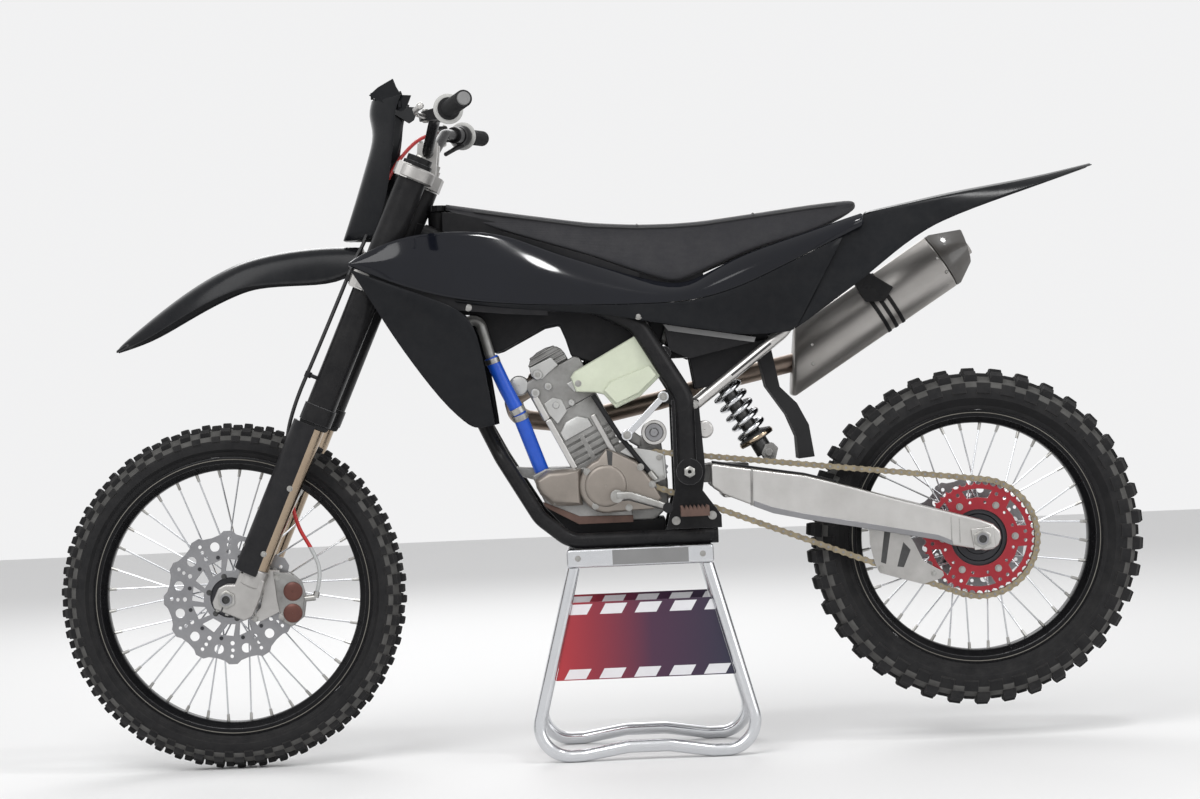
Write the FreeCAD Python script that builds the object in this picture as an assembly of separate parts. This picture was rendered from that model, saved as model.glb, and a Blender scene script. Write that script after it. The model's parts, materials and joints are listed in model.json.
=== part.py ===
"""Motocross motorcycle standing on a fixed paddock stand.

Row frame in millimetres: +X forward, +Y to the rider's left, +Z up, floor at Z = 0.
The origin is on the floor, midway between the two tyres' outer ends.
The stand carries the frame's lower rails, the front tyre touches the floor and the rear
tyre hangs clear of it, so the whole motorcycle sits slightly nose-down.
"""
import FreeCAD, Part
import math
import os

os.makedirs("parts", exist_ok=True)
V = FreeCAD.Vector
PITCHES = 36                 # lug pitches round each tyre
ROLLER_R = 5.1               # chain rollers

# Driving sizes of the wheels
FRONT_SEAT_R = 266.7         # 21 inch rim, bead seat
FRONT_SECTION = 79.3         # from the bead seat to the lugs' tips
FRONT_RIM_Y = 27.0           # half the rim's width
REAR_SEAT_R = 241.3          # 19 inch rim
REAR_SECTION = 95.7
REAR_RIM_Y = 33.0
FLANGE_H = 12.5
FRONT_R = FRONT_SEAT_R + FRONT_SECTION
REAR_R = REAR_SEAT_R + REAR_SECTION
FRONT_LUG = 13.0             # lug heights
REAR_LUG = 17.0
WHEEL_SPAN = 1490.0          # between the axles, along the floor
REAR_AXLE_Z = 402.0          # the rear wheel hangs clear of the floor
FRONT_AXLE_X = (WHEEL_SPAN + REAR_R - FRONT_R) / 2
REAR_AXLE_X = FRONT_AXLE_X - WHEEL_SPAN
FRONT_AXLE = V(FRONT_AXLE_X, 0, FRONT_R)
REAR_AXLE = V(REAR_AXLE_X, 0, REAR_AXLE_Z)
LONG = WHEEL_SPAN / 1490.0   # lengths along the body follow the wheel span
NOSE = V(FRONT_AXLE_X - 740.5, 0, FRONT_R - 346.0)   # what steers follows the front axle

# Driving sizes of the steering
RAKE = 24.2                  # steering axis from the vertical, as it sits on the stand
AXLE_LEAD = 30.5             # axle ahead of the fork legs
CLAMP_OFFSET = 22.0          # fork legs ahead of the steering axis
LEG_Y = 103.0                # fork leg from the middle plane
TOP_CLAMP_S = 915.0          # clamp heights along the fork, from the axle
LOW_CLAMP_S = 680.0
OUTER_END_S = 386.0          # lower end of the outer tubes
OUTER_R = 29.5
STANCHION_R = 24.0
STEM_R = 15.0
HEAD_R = 27.0
FIT = 0.05                   # running clearance of shafts, radial
SEAT_GAP = 0.3               # clearance between seated pieces
BAR_CENTRE = V(312, 0, 1213) + NOSE
BAR_RISE = V(288, 165, 1270) + NOSE
BAR_END = V(221, 400, 1280) + NOSE
BAR_R = 11.0
GRIP_LENGTH = 125.0

# Driving sizes of the chassis
PIVOT = V(-180 * LONG, 0, 558)      # swingarm pivot
PIVOT_R = 10.0
RAIL_R = 15.0                # lower frame rails
RAIL_Z = PIVOT.z - 127.7
STAND_H = RAIL_Z - RAIL_R - SEAT_GAP      # the paddock stand is as high as the rails' underside
SPAR_R = 19.0
SPAR_Y = 96.0                # frame uprights from the middle plane
PLATE_Y0 = 80.0              # pivot plates, inner and outer faces
PLATE_Y1 = 98.0
ARM_Y0 = 82.0                # swingarm's arms, inner and outer faces
ARM_Y1 = 118.0
CHAIN_Y = 68.0               # chain line
COUNTERSHAFT = V(-112 * LONG, 0, 566)
SHAFT_R = 8.0
CHAIN_PITCH = 15.875
FRONT_TEETH = 13
REAR_TEETH = 46
CASE_Y = 72.0                # left face of the engine's cases
LEAN = math.radians(26.6)    # cylinder, forward of the vertical
CYLINDER_FOOT = V(-5, 0, 590)
DOWN_TOP = V(388, 0, 1005) + NOSE   # straight run of the down tube
DOWN_FOOT = V(236 * LONG, 0, 684)
CASE_TOP = 575.0             # top of the cases, under the cylinder
COVER_Y = 100.0              # outer face of the left cover

up = V(-math.sin(math.radians(RAKE)), 0, math.cos(math.radians(RAKE)))
ahead = V(math.cos(math.radians(RAKE)), 0, math.sin(math.radians(RAKE)))
fork_foot = FRONT_AXLE - ahead * AXLE_LEAD


def fork_point(s, forward=0.0, y=0.0):
    """A point at height s along the fork, forward of the legs and y to the left."""
    return fork_foot + up * s + ahead * forward + V(0, y, 0)


def rod(p, q, r):
    """Round bar from p to q."""
    return Part.makeCylinder(r, (q - p).Length, p, q - p)


def pipe(p, q, r_out, r_in):
    return rod(p, q, r_out).cut(rod(p, q, r_in))


def across(x, z, y0, y1, r):
    """Round bar along Y."""
    return rod(V(x, y0, z), V(x, y1, z), r)


def block(x0, x1, y0, y1, z0, z1):
    return Part.makeBox(x1 - x0, y1 - y0, z1 - z0, V(x0, y0, z0))


def outline(points, y):
    """Closed wire in a side plane at y. A point is (x, z), or (xm, zm, x, z) for an arc."""
    edges = []
    first = last = V(points[0][-2], y, points[0][-1])
    for p in points[1:]:
        end = V(p[-2], y, p[-1])
        if len(p) == 4:
            edges.append(Part.Arc(last, V(p[0], y, p[1]), end).toShape())
        else:
            edges.append(Part.makeLine(last, end))
        last = end
    if (last - first).Length > 1e-6:
        edges.append(Part.makeLine(last, first))
    return Part.Wire(edges)


def plate(points, y0, y1):
    """Flat piece with a side-view outline, from y0 to y1."""
    return Part.Face(outline(points, y0)).extrude(V(0, y1 - y0, 0))


def spread(points):
    """Side-view points with their lengths along X following the wheel span."""
    return [tuple(c * LONG if i % 2 == 0 else c for i, c in enumerate(p)) for p in points]


def mirror(shape):
    return shape.mirror(V(0, 0, 0), V(0, 1, 0))


def both(shape):
    """The piece and its twin on the right side."""
    return [shape, mirror(shape)]


def fuse(shapes):
    shapes = list(shapes)
    joined = shapes[0] if len(shapes) == 1 else shapes[0].multiFuse(shapes[1:])
    return joined.removeSplitter()


def bent_tube(points, r, bend):
    """Tube along straight runs joined by tangent arcs of radius bend."""
    points = [V(*p) for p in points]
    edges = []
    start = points[0]
    for before, corner, after in zip(points, points[1:], points[2:]):
        a = (before - corner).normalize()
        b = (after - corner).normalize()
        turn = math.pi - a.getAngle(b)
        reach = bend * math.tan(turn / 2)
        mid = (a + b).normalize()
        p0 = corner + a * reach
        p1 = corner + b * reach
        pm = corner + mid * (bend / math.cos(turn / 2) - bend)
        if (p0 - start).Length > 1e-3:
            edges.append(Part.makeLine(start, p0))
        edges.append(Part.Arc(p0, pm, p1).toShape())
        start = p1
    edges.append(Part.makeLine(start, points[-1]))
    path = Part.Wire(edges)
    ring = Part.Wire(Part.makeCircle(r, points[0], points[1] - points[0]))
    return path.makePipeShell([ring], True, True)


def loft(sections):
    """Straight-sided loft through closed polygons."""
    wires = [Part.makePolygon([*map(lambda p: V(*p), s), V(*s[0])]) for s in sections]
    return Part.makeLoft(wires, True, True)


def faceted(rows):
    """Wall of flat triangles through rings of points, whose second half runs back along the first."""
    n = len(rows[0])
    corners = [p for row in rows for p in row]
    quads = []
    for i in range(len(rows) - 1):
        for j in range(n):
            k = (j + 1) % n
            quad = (i * n + j, i * n + k, i * n + n + k, i * n + n + j)
            quads.append(quad if j < n // 2 else quad[1:] + quad[:1])
    for i in range(n // 2 - 1):
        last = len(corners) - n
        quads.append((i, n - 1 - i, n - 2 - i, i + 1))
        quads.append((last + i, last + i + 1, last + n - 2 - i, last + n - 1 - i))
    triangles = [t for a, b, c, d in quads for t in ((a, b, c), (a, c, d))]
    skin_shape = Part.Shape()
    skin_shape.makeShapeFromMesh((corners, triangles), 0.01)
    return Part.Solid(Part.Shell(skin_shape.Faces))


def skin(stations, inward):
    """Moulded wall: each station lists outer points, and inward is the wall's thickness."""
    rows = []
    for station in stations:
        outer = [V(*p) for p in station]
        rows.append(outer + [p + V(*inward) for p in reversed(outer)])
    return faceted(rows)


def turned(profile, centre):
    """Ring about a wheel's axle from a closed (radius, y) profile."""
    points = [V(r, y, 0) for r, y in profile]
    face = Part.Face(Part.makePolygon([*points, points[0]]))
    ring = face.revolve(V(0, 0, 0), V(0, 1, 0), 360)
    ring.translate(centre)
    return ring


def save(name, shapes):
    shapes = shapes if isinstance(shapes, list) else [shapes]
    solids = [s for shape in shapes for s in shape.Solids]
    for s in solids:
        if not s.isValid() or s.Volume <= 0:
            print("BAD SOLID", name, s.isValid(), s.Volume)
    Part.makeCompound(solids).exportStep(f"parts/{name}.step")
    print(f"{name}: {len(solids)} solids, {sum(s.Volume for s in solids) / 1000:.0f} cm3")


# Tyres: flat-sided rings of PITCHES sectors, each with its lugs
def tyre(centre, tip_r, profile, crown_lugs, shoulder_lug):
    """profile is half the section, rim edge to crown, as (radius, y)."""
    half = math.radians(180 / PITCHES)
    ring = [(r, y) for r, y in profile] + [(r, -y) for r, y in reversed(profile)]
    length = 2 * tip_r * math.tan(half) + 20
    face = Part.Face(Part.makePolygon([V(-length / 2, y, r) for r, y in ring + ring[:1]]))
    sector = face.extrude(V(length, 0, 0))
    crown_r, crown_y = profile[-1]
    side_r, side_y = profile[-2]
    lugs = []
    for x0, x1, y0, y1 in crown_lugs:
        lugs.append(block(x0, x1, y0, y1, crown_r - 1, tip_r))
    x0, x1, share0, share1, height = shoulder_lug
    slope = V(0, side_y - crown_y, side_r - crown_r)
    out = V(0, crown_r - side_r, side_y - crown_y).normalize()
    for side in (1, -1):
        corners = []
        for share, rise in ((share0, -1), (share1, -1), (share1, height), (share0, height)):
            p = V(0, crown_y, crown_r) + slope * share + out * rise
            corners.append(V(x0, p.y * side, p.z))
        lugs.append(Part.Face(Part.makePolygon(corners + corners[:1])).extrude(V(x1 - x0, 0, 0)))
    sector = sector.fuse(lugs)
    reach = tip_r + 40
    wedge = Part.Face(Part.makePolygon([
        V(0, -200, 0), V(-reach * math.tan(half), -200, reach),
        V(reach * math.tan(half), -200, reach), V(0, -200, 0)])).extrude(V(0, 400, 0))
    sector = sector.common(wedge)
    sectors = []
    for i in range(PITCHES):
        copy = sector.copy()
        copy.rotate(V(0, 0, 0), V(0, 1, 0), i * 360 / PITCHES)
        sectors.append(copy)
    whole = sectors[0].multiFuse(sectors[1:])
    whole.translate(centre)
    return whole


def tyre_section(seat_r, rim_y, tip_r, lug_h, wide_y, crown_y):
    """Half the section of a tyre, from the rim's edge to its crown."""
    return [(seat_r + FLANGE_H + SEAT_GAP, rim_y - 2),
            ((seat_r + tip_r) / 2 + 2, wide_y),
            (tip_r - lug_h - 11, wide_y - 6),
            (tip_r - lug_h, crown_y)]


def rim(centre, seat_r, half_width):
    profile = [(seat_r - 14, half_width * 0.5), (seat_r, half_width),
               (seat_r + FLANGE_H, half_width), (seat_r + FLANGE_H, half_width - 3.5),
               (seat_r, half_width - 5)]
    return turned(profile + [(r, -y) for r, y in reversed(profile)], centre)


def spokes(centre, hub_r, hub_y, rim_r, rim_y):
    """Thirty-six crossed spokes, from the hub's flanges to the rim."""
    made = []
    for i in range(36):
        a = math.radians(10 * i + 5)
        side = 1 if i % 2 else -1
        cross = math.radians(50) * (1 if (i // 2) % 2 else -1)
        p = V(hub_r * math.sin(a + cross), side * hub_y, hub_r * math.cos(a + cross))
        q = V(rim_r * math.sin(a), side * rim_y, rim_r * math.cos(a))
        d = q - p
        e = d.cross(V(0, 1, 0)).normalize() * 2.0
        n = d.cross(e).normalize() * 2.0
        spoke = Part.Face(Part.makePolygon([p + e, p + n, p - e, p - n, p + e])).extrude(d)
        spoke.translate(centre)
        made.append(spoke)
    return made


FRONT_HUB_Y = 46.0           # half the hub's length
REAR_HUB_Y = 52.0
AXLE_R = 12.0
AXLE_BORE_R = 8.0
SPACER_R = 16.0
CARRIER_R = 17.0             # bore of what is bolted to the hubs


def hub(centre, half_length, flange_y, barrel_r, flange_r):
    profile = [(AXLE_R + FIT, half_length), (barrel_r - 2, half_length),
               (barrel_r - 2, flange_y + 3), (flange_r, flange_y + 3),
               (flange_r, flange_y - 3), (barrel_r, flange_y - 9)]
    return turned(profile + [(r, -y) for r, y in reversed(profile)], centre)


def make_wheels():
    section = tyre_section(FRONT_SEAT_R, FRONT_RIM_Y, FRONT_R, FRONT_LUG, 41, 22)
    save("front_tyre", tyre(FRONT_AXLE, FRONT_R, section, [(-12, 12, -18, 18)], (-23, 3, 0.12, 0.95, 9)))
    section = tyre_section(REAR_SEAT_R, REAR_RIM_Y, REAR_R, REAR_LUG, 53, 30)
    save("rear_tyre", tyre(REAR_AXLE, REAR_R, section, [(-12, 12, 4, 26), (-12, 12, -26, -4)],
                           (-24, 2, 0.1, 0.95, 13)))
    save("front_rim", rim(FRONT_AXLE, FRONT_SEAT_R, FRONT_RIM_Y))
    save("rear_rim", rim(REAR_AXLE, REAR_SEAT_R, REAR_RIM_Y))
    front = [hub(FRONT_AXLE, FRONT_HUB_Y, 32, 19, 31)]
    front += spokes(FRONT_AXLE, 27, 32, FRONT_SEAT_R - 14 - 3 * SEAT_GAP, 6)
    save("front_hub", fuse(front))
    rear = [hub(REAR_AXLE, REAR_HUB_Y, 36, 26, 40)]
    rear += spokes(REAR_AXLE, 36, 36, REAR_SEAT_R - 14 - 3 * SEAT_GAP, 8)
    save("rear_hub", fuse(rear))


def polar(r, degrees):
    return (r * math.cos(math.radians(degrees)), r * math.sin(math.radians(degrees)))


def wave_disc(centre, y, outer_r, inner_r, thick, waves):
    """Brake disc with a scalloped rim, long windows and a ring of carrier bolts."""
    step = 360 / waves
    shares = ((-0.5, 0.93), (-0.25, 0.95), (-0.12, 1), (0.12, 1), (0.25, 0.95))
    edge = [polar(outer_r * share, step * (i + turn)) for i in range(waves) for turn, share in shares]
    made = plate(edge, y - thick / 2, y + thick / 2)
    tools = [across(0, 0, y - thick, y + thick, inner_r)]
    mid = (outer_r + inner_r) / 2
    for i in range(waves):
        window = [polar(mid - 15, step * i - 8), polar(mid + 13, step * i + 2), polar(mid + 13, step * i + 13),
                  polar(mid - 15, step * i + 4)]
        tools.append(plate(window, y - thick, y + thick))
    made = made.cut(tools)
    made.translate(centre)
    return made


def sprocket(centre, y, teeth, thick, tip_r, root_r, bore_r):
    points = []
    for i in range(teeth):
        a = 360 * i / teeth
        step = 180 / teeth
        points += [polar(root_r, a - step * 0.5), polar(tip_r, a + step * 0.25), polar(tip_r, a + step * 0.5)]
    made = plate(points, y - thick / 2, y + thick / 2)
    made = made.cut(across(0, 0, y - thick, y + thick, bore_r))
    made.translate(centre)
    return made


FRONT_DISC_Y = 62.0
REAR_DISC_Y = -64.0


def pitch_radius(teeth):
    return CHAIN_PITCH / (2 * math.sin(math.pi / teeth))


def make_running_gear():
    bell = turned([(CARRIER_R, FRONT_HUB_Y + SEAT_GAP), (44, FRONT_HUB_Y + SEAT_GAP),
                   (44, FRONT_DISC_Y - 2), (CARRIER_R, FRONT_DISC_Y - 2)], FRONT_AXLE)
    save("front_disc", fuse([wave_disc(FRONT_AXLE, FRONT_DISC_Y, 133, 40, 4, 12), bell]))
    bell = turned([(CARRIER_R, -REAR_HUB_Y - SEAT_GAP), (46, -REAR_HUB_Y - SEAT_GAP),
                   (46, REAR_DISC_Y + 2), (CARRIER_R, REAR_DISC_Y + 2)], REAR_AXLE)
    save("rear_disc", fuse([wave_disc(REAR_AXLE, REAR_DISC_Y, 120, 42, 4, 12), bell]))
    tip = pitch_radius(REAR_TEETH) - ROLLER_R - SEAT_GAP
    wheel = sprocket(REAR_AXLE, CHAIN_Y, REAR_TEETH, 6, tip, tip - 6, 56)
    windows = []
    for i in range(6):
        corners = [polar(r, 60 * i + 30 + a) for r, a in ((80, -17), (97, -20), (97, 20), (80, 17))]
        windows.append(plate(corners, CHAIN_Y - 9, CHAIN_Y + 9))
    for w in windows:
        w.translate(REAR_AXLE)
    carrier = turned([(CARRIER_R, REAR_HUB_Y + SEAT_GAP), (52, REAR_HUB_Y + SEAT_GAP),
                      (62, CHAIN_Y - 3), (62, CHAIN_Y), (CARRIER_R, CHAIN_Y)], REAR_AXLE)
    bolts = [across(REAR_AXLE.x + x, REAR_AXLE.z + z, CHAIN_Y, CHAIN_Y + 7, 6)
             for x, z in (polar(72, 60 * i) for i in range(6))]
    save("rear_sprocket", fuse([wheel.cut(windows), carrier, *bolts]))
    tip = pitch_radius(FRONT_TEETH) - ROLLER_R - SEAT_GAP
    save("front_sprocket", sprocket(COUNTERSHAFT, CHAIN_Y, FRONT_TEETH, 6, tip, tip - 4, SHAFT_R))
    save("chain", chain_loop())
    save("front_axle", axle(FRONT_AXLE, 134, FRONT_HUB_Y, LEG_Y - 20))
    save("rear_axle", axle(REAR_AXLE, 130, REAR_HUB_Y, ARM_Y0))


def axle(centre, half_length, hub_y, carrier_y):
    """Hollow axle with the two spacers beside the hub."""
    def along(y0, y1, r):
        return pipe(centre + V(0, y0, 0), centre + V(0, y1, 0), r, AXLE_BORE_R)

    return fuse([along(-half_length, half_length, AXLE_R),
                 along(hub_y + SEAT_GAP, carrier_y - SEAT_GAP, SPACER_R),
                 along(SEAT_GAP - carrier_y, -hub_y - SEAT_GAP, SPACER_R)])


def chain_loop():
    """Closed chain round both sprockets: two rows of side plates on a narrower row of rollers."""
    r1, r2 = pitch_radius(FRONT_TEETH), pitch_radius(REAR_TEETH)
    line = REAR_AXLE - COUNTERSHAFT
    base = math.degrees(math.atan2(line.z, line.x))
    lean = math.degrees(math.acos((r1 - r2) / line.Length))

    def loop(offset, y0, y1):
        points = []
        for centre, r, start, end, count in ((COUNTERSHAFT, r1, base - lean, base + lean - 360, 9),
                                             (REAR_AXLE, r2, base + lean, base - lean, 19)):
            step = (end - start) / (count - 1)
            corner_r = (r + offset) / math.cos(math.radians(step / 2))
            for i in range(count):
                x, z = polar(corner_r, start + step * i)
                points.append((centre.x + x, centre.z + z))
        return plate(points, y0, y1)

    rows = [loop(7, CHAIN_Y + y0, CHAIN_Y + y1).cut(loop(-7, CHAIN_Y + y0, CHAIN_Y + y1))
            for y0, y1 in ((3.6, 7.5), (-7.5, -3.6))]
    rollers = loop(ROLLER_R, CHAIN_Y - 3.6, CHAIN_Y + 3.6).cut(
        loop(-ROLLER_R, CHAIN_Y - 3.6, CHAIN_Y + 3.6))
    return fuse([*rows, rollers])


def make_fork():
    bore = rod(FRONT_AXLE + V(0, -200, 0), FRONT_AXLE + V(0, 200, 0), AXLE_R + FIT)
    tube = pipe(fork_point(OUTER_END_S, y=LEG_Y), fork_point(TOP_CLAMP_S + 22, y=LEG_Y),
                OUTER_R, STANCHION_R + FIT)
    collar = pipe(fork_point(OUTER_END_S, y=LEG_Y), fork_point(OUTER_END_S + 34, y=LEG_Y),
                  OUTER_R + 3, OUTER_R)
    cap = rod(fork_point(TOP_CLAMP_S + 22, y=LEG_Y), fork_point(TOP_CLAMP_S + 34, y=LEG_Y),
              OUTER_R - 4)
    save("fork_tubes", both(fuse([tube, collar, cap])))
    leg = rod(fork_point(40, y=LEG_Y), fork_point(TOP_CLAMP_S, y=LEG_Y), STANCHION_R)
    lug = loft([[tuple(fork_point(s, f, LEG_Y + w)) for f, w in
                 ((-30, -20), (AXLE_LEAD + 24, -20), (AXLE_LEAD + 24, 22), (-30, 22))]
                for s in (-26, 26)])
    neck = rod(fork_point(20, y=LEG_Y), fork_point(78, y=LEG_Y), STANCHION_R + 4)
    left_leg = fuse([leg, lug, neck]).cut(bore)
    save("fork_legs", both(left_leg))
    shell = pipe(fork_point(64, y=LEG_Y), fork_point(OUTER_END_S - 6, y=LEG_Y), 41, 37)
    foot = pipe(fork_point(66, y=LEG_Y), fork_point(74, y=LEG_Y), 40, STANCHION_R + 4 + SEAT_GAP)
    keep = loft([[tuple(fork_point(s, f, LEG_Y + w)) for f, w in
                  ((-8, -10), (60, -10), (60, 60), (-8, 60))] for s in (60, 390)])
    save("fork_guards", both(fuse([shell, foot]).common(keep)))
    # seen from the side, from the front axle
    body = [(-86, 52), (-121, 46), (-143, 26), (-151, -6), (-145, -46), (-123, -62), (-101, -50), (-93, -6)]
    bracket = [(-101, 54), (-41, 58), (-41, -46), (-106, -26)]
    body = plate([(FRONT_AXLE.x + x, FRONT_AXLE.z + z) for x, z in body], FRONT_DISC_Y - 22,
                 FRONT_DISC_Y + 34)
    bracket = plate([(FRONT_AXLE.x + x, FRONT_AXLE.z + z) for x, z in bracket], FRONT_DISC_Y + 22,
                    FRONT_DISC_Y + 32)
    slot = rod(FRONT_AXLE + V(0, FRONT_DISC_Y - 7, 0), FRONT_AXLE + V(0, FRONT_DISC_Y + 7, 0), 140)
    hose_end = FRONT_AXLE + V(*HOSE_CALIPER)
    elbow = hose_end + HOSE_DOWN * 12
    banjo = fuse([rod(hose_end + HOSE_DOWN * SEAT_GAP, elbow, 6.5),
                  rod(elbow, FRONT_AXLE + V(-140, hose_end.y, -8), 6.5)])
    save("front_caliper", fuse([body.cut(slot), bracket, banjo]).cut(left_leg))
    save("brake_hose", brake_hose())


HOSE_R = 4.0
HOSE_TOP = V(308, -206, 1277) + NOSE   # the hose's ends, the lower one from the front axle
HOSE_CALIPER = (-174.5, 84, 6)
HOSE_LAST = (-185, 84, 40)
HOSE_DOWN = (V(*HOSE_CALIPER) - V(*HOSE_LAST)).normalize()


def brake_hose():
    """Front brake hose, from the right lever's cylinder down the left leg to the caliper."""
    bar = [(336, -160, 1266), (368, -112, 1232), (392, -56, 1190), (414, -6, 1136),
           (431, 34, 1082), (446, 68, 1036)]
    # height along the fork, forward and left of the leg's middle
    leg = [(712, 47, 92), (610, 47, 101), (500, 49, 100), (410, 52, 95), (335, 44, 78), (262, 10, 67),
           (186, -34, 70)]
    low = [(-171, 80, 84), HOSE_LAST, HOSE_CALIPER]
    points = [HOSE_TOP, *[V(*p) + NOSE for p in bar]]
    points += [fork_point(s, forward, y) for s, forward, y in leg]
    points += [FRONT_AXLE + V(x, y, z) for x, y, z in low]
    edges = []
    start = points[0]
    for before, corner, after in zip(points, points[1:], points[2:]):
        a, b = before - corner, after - corner
        reach = 0.45 * min(a.Length, b.Length)
        a.normalize()
        b.normalize()
        turn = math.pi - a.getAngle(b)
        radius = reach / math.tan(turn / 2)
        middle = corner + (a + b).normalize() * (radius / math.cos(turn / 2) - radius)
        edges.append(Part.makeLine(start, corner + a * reach))
        edges.append(Part.Arc(corner + a * reach, middle, corner + b * reach).toShape())
        start = corner + b * reach
        print(f"hose run {(corner - before).Length:.0f}, turn {math.degrees(turn):.0f}, radius {radius:.0f}")
    edges.append(Part.makeLine(start, points[-1]))
    path = Part.Wire(edges)
    ring = Part.Wire(Part.makeCircle(HOSE_R, points[0], points[1] - points[0]))
    hose = path.makePipeShell([ring], True, True)
    share = hose.Volume / (path.Length * math.pi * HOSE_R ** 2)
    print(f"hose length {path.Length:.0f}, share of a straight tube's volume {share:.3f}")
    return hose


def clamp(s, height, back, back_half, front):
    """Fork clamp plate across both legs."""
    corners = [(back, -back_half), (back, back_half), (8, LEG_Y + 38), (front, LEG_Y + 30),
               (front, -LEG_Y - 30), (8, -LEG_Y - 38)]
    return loft([[tuple(fork_point(h, f, y)) for f, y in corners]
                 for h in (s - height / 2, s + height / 2)])


LOW_CLAMP_T = 34.0           # clamp thicknesses
TOP_CLAMP_T = 28.0


def make_steering():
    tubes = [rod(fork_point(0, y=y), fork_point(1100, y=y), OUTER_R + FIT)
             for y in (LEG_Y, -LEG_Y)]
    bar_bore = across(BAR_CENTRE.x, BAR_CENTRE.z, -80, 80, BAR_R + FIT)
    top = [clamp(TOP_CLAMP_S, TOP_CLAMP_T, -CLAMP_OFFSET - 28, 30, 34)]
    foot = fork_point(TOP_CLAMP_S, -20)
    for y0, y1 in ((18, 46), (-46, -18)):
        top.append(loft([[(c.x - 20, y0, z), (c.x + 20, y0, z), (c.x + 20, y1, z), (c.x - 20, y1, z)]
                         for c, z in ((foot, foot.z), (BAR_CENTRE, BAR_CENTRE.z + 20))]))
    nut = rod(fork_point(TOP_CLAMP_S, -CLAMP_OFFSET), fork_point(TOP_CLAMP_S + 26, -CLAMP_OFFSET), 17)
    top = fuse([*top, nut]).cut([*tubes, bar_bore])
    fender = front_fender()
    stem = rod(fork_point(LOW_CLAMP_S, -CLAMP_OFFSET),
               fork_point(TOP_CLAMP_S - TOP_CLAMP_T / 2 - SEAT_GAP, -CLAMP_OFFSET), STEM_R)
    lug = loft([[tuple(fork_point(s, f, y)) for f, y in ((8, -24), (50, -24), (50, 24), (8, 24))]
                for s in (LOW_CLAMP_S, LOW_CLAMP_S + 58)])
    bottom = clamp(LOW_CLAMP_S, LOW_CLAMP_T, -CLAMP_OFFSET - 24, 22, 36).cut(tubes)
    save("fork_clamps", [top, fuse([bottom, stem, lug]).cut(fender)])
    save("front_fender", fender)
    save("number_plate", number_plate())


def front_fender():
    # x, then the middle's z, then half-width and z of the shoulder, then of the edge
    sections = [(452, 1034, 36, 1026, 48, 1000), (510, 1038, 38, 1030, 51, 965),
                (600, 1034, 44, 1026, 60, 967), (675, 1022, 50, 1012, 67, 966),
                (714, 1009, 52, 998, 70, 955), (769, 984, 52, 972, 70, 932),
                (832, 945, 46, 934, 64, 898), (892, 901, 34, 892, 48, 864),
                (956, 850, 8, 848, 12, 844)]
    made = skin([[(x, -we, ze), (x, -ws, zs), (x, 0, zm), (x, ws, zs), (x, we, ze)]
                 for x, zm, ws, zs, we, ze in sections], (0, 0, -3))
    made.translate(NOSE)
    return made


def number_plate():
    # z, then the front's x and half-width, then the rear edge's x and half-width
    sections = [(1052, 486, 30, 452, 55), (1125, 456, 40, 410, 82), (1200, 432, 48, 396, 96),
                (1258, 412, 56, 374, 108), (1294, 426, 60, 372, 116), (1329, 414, 62, 356, 118)]
    shell = skin([[(xr, -wr, z), (xf, -wf, z), (xf, wf, z), (xr, wr, z)]
                  for z, xf, wf, xr, wr in sections], (-3, 0, 0))
    ear = plate([(392, 1264), (384, 1300), (369, 1352), (357, 1324), (338, 1321), (349, 1292)], 109, 113)
    peg = fork_point(TOP_CLAMP_S, 34) - NOSE
    pegs = [rod(V(peg.x + 3 + SEAT_GAP, y, peg.z), V(peg.x + 69, y, peg.z), 5) for y in (30, -30)]
    made = fuse([shell, *both(ear), *pegs])
    made.translate(NOSE)
    return made


def make_bars():
    right = [(BAR_CENTRE.x, -60, BAR_CENTRE.z), (BAR_RISE.x, -BAR_RISE.y, BAR_RISE.z),
             (BAR_END.x, -BAR_END.y, BAR_END.z)]
    left = [(x, -y, z) for x, y, z in reversed(right)]
    save("handlebar", bent_tube([*left, *right], BAR_R, 45))
    out = (BAR_END - BAR_RISE).normalize()
    root = BAR_END - out * GRIP_LENGTH
    grip = [pipe(root - out * 6, root, 30, BAR_R + FIT), pipe(root, BAR_END + out * 4, 16.5, BAR_R + FIT),
            rod(BAR_END + out * SEAT_GAP, BAR_END + out * 6, 16.5)]
    drum = pipe(root - out * 34, root - out * 6, 23, BAR_R + FIT)
    save("grips", [fuse(grip), mirror(fuse([*grip, drum]))])
    seat = BAR_END - out * (GRIP_LENGTH + 50)
    perch = pipe(seat - out * 14, seat + out * 14, 20, BAR_R + FIT)
    knuckle = seat + V(30, 0, -6)
    arm = rod(seat + V(16, 0, -3), knuckle + V(12, 0, 0), 9)
    blade = bent_tube([tuple(knuckle + V(8, -12, 0)), tuple(knuckle + V(22, 40, 0)),
                       tuple(knuckle + V(4, 165, 4))], 5.5, 60)
    cup = rod(seat - out * 20 + V(30, 0, 6), seat + out * 14 + V(30, 0, 6), 14)
    hose_top = V(HOSE_TOP.x, -HOSE_TOP.y, HOSE_TOP.z)
    hose_out = V(-28, 46, 11).normalize()
    outlet = rod(hose_top + hose_out * SEAT_GAP, hose_top + hose_out * 24, 7)
    save("hand_levers", [fuse([perch, arm, blade]), mirror(fuse([perch, arm, blade, cup, outlet]))])


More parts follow.
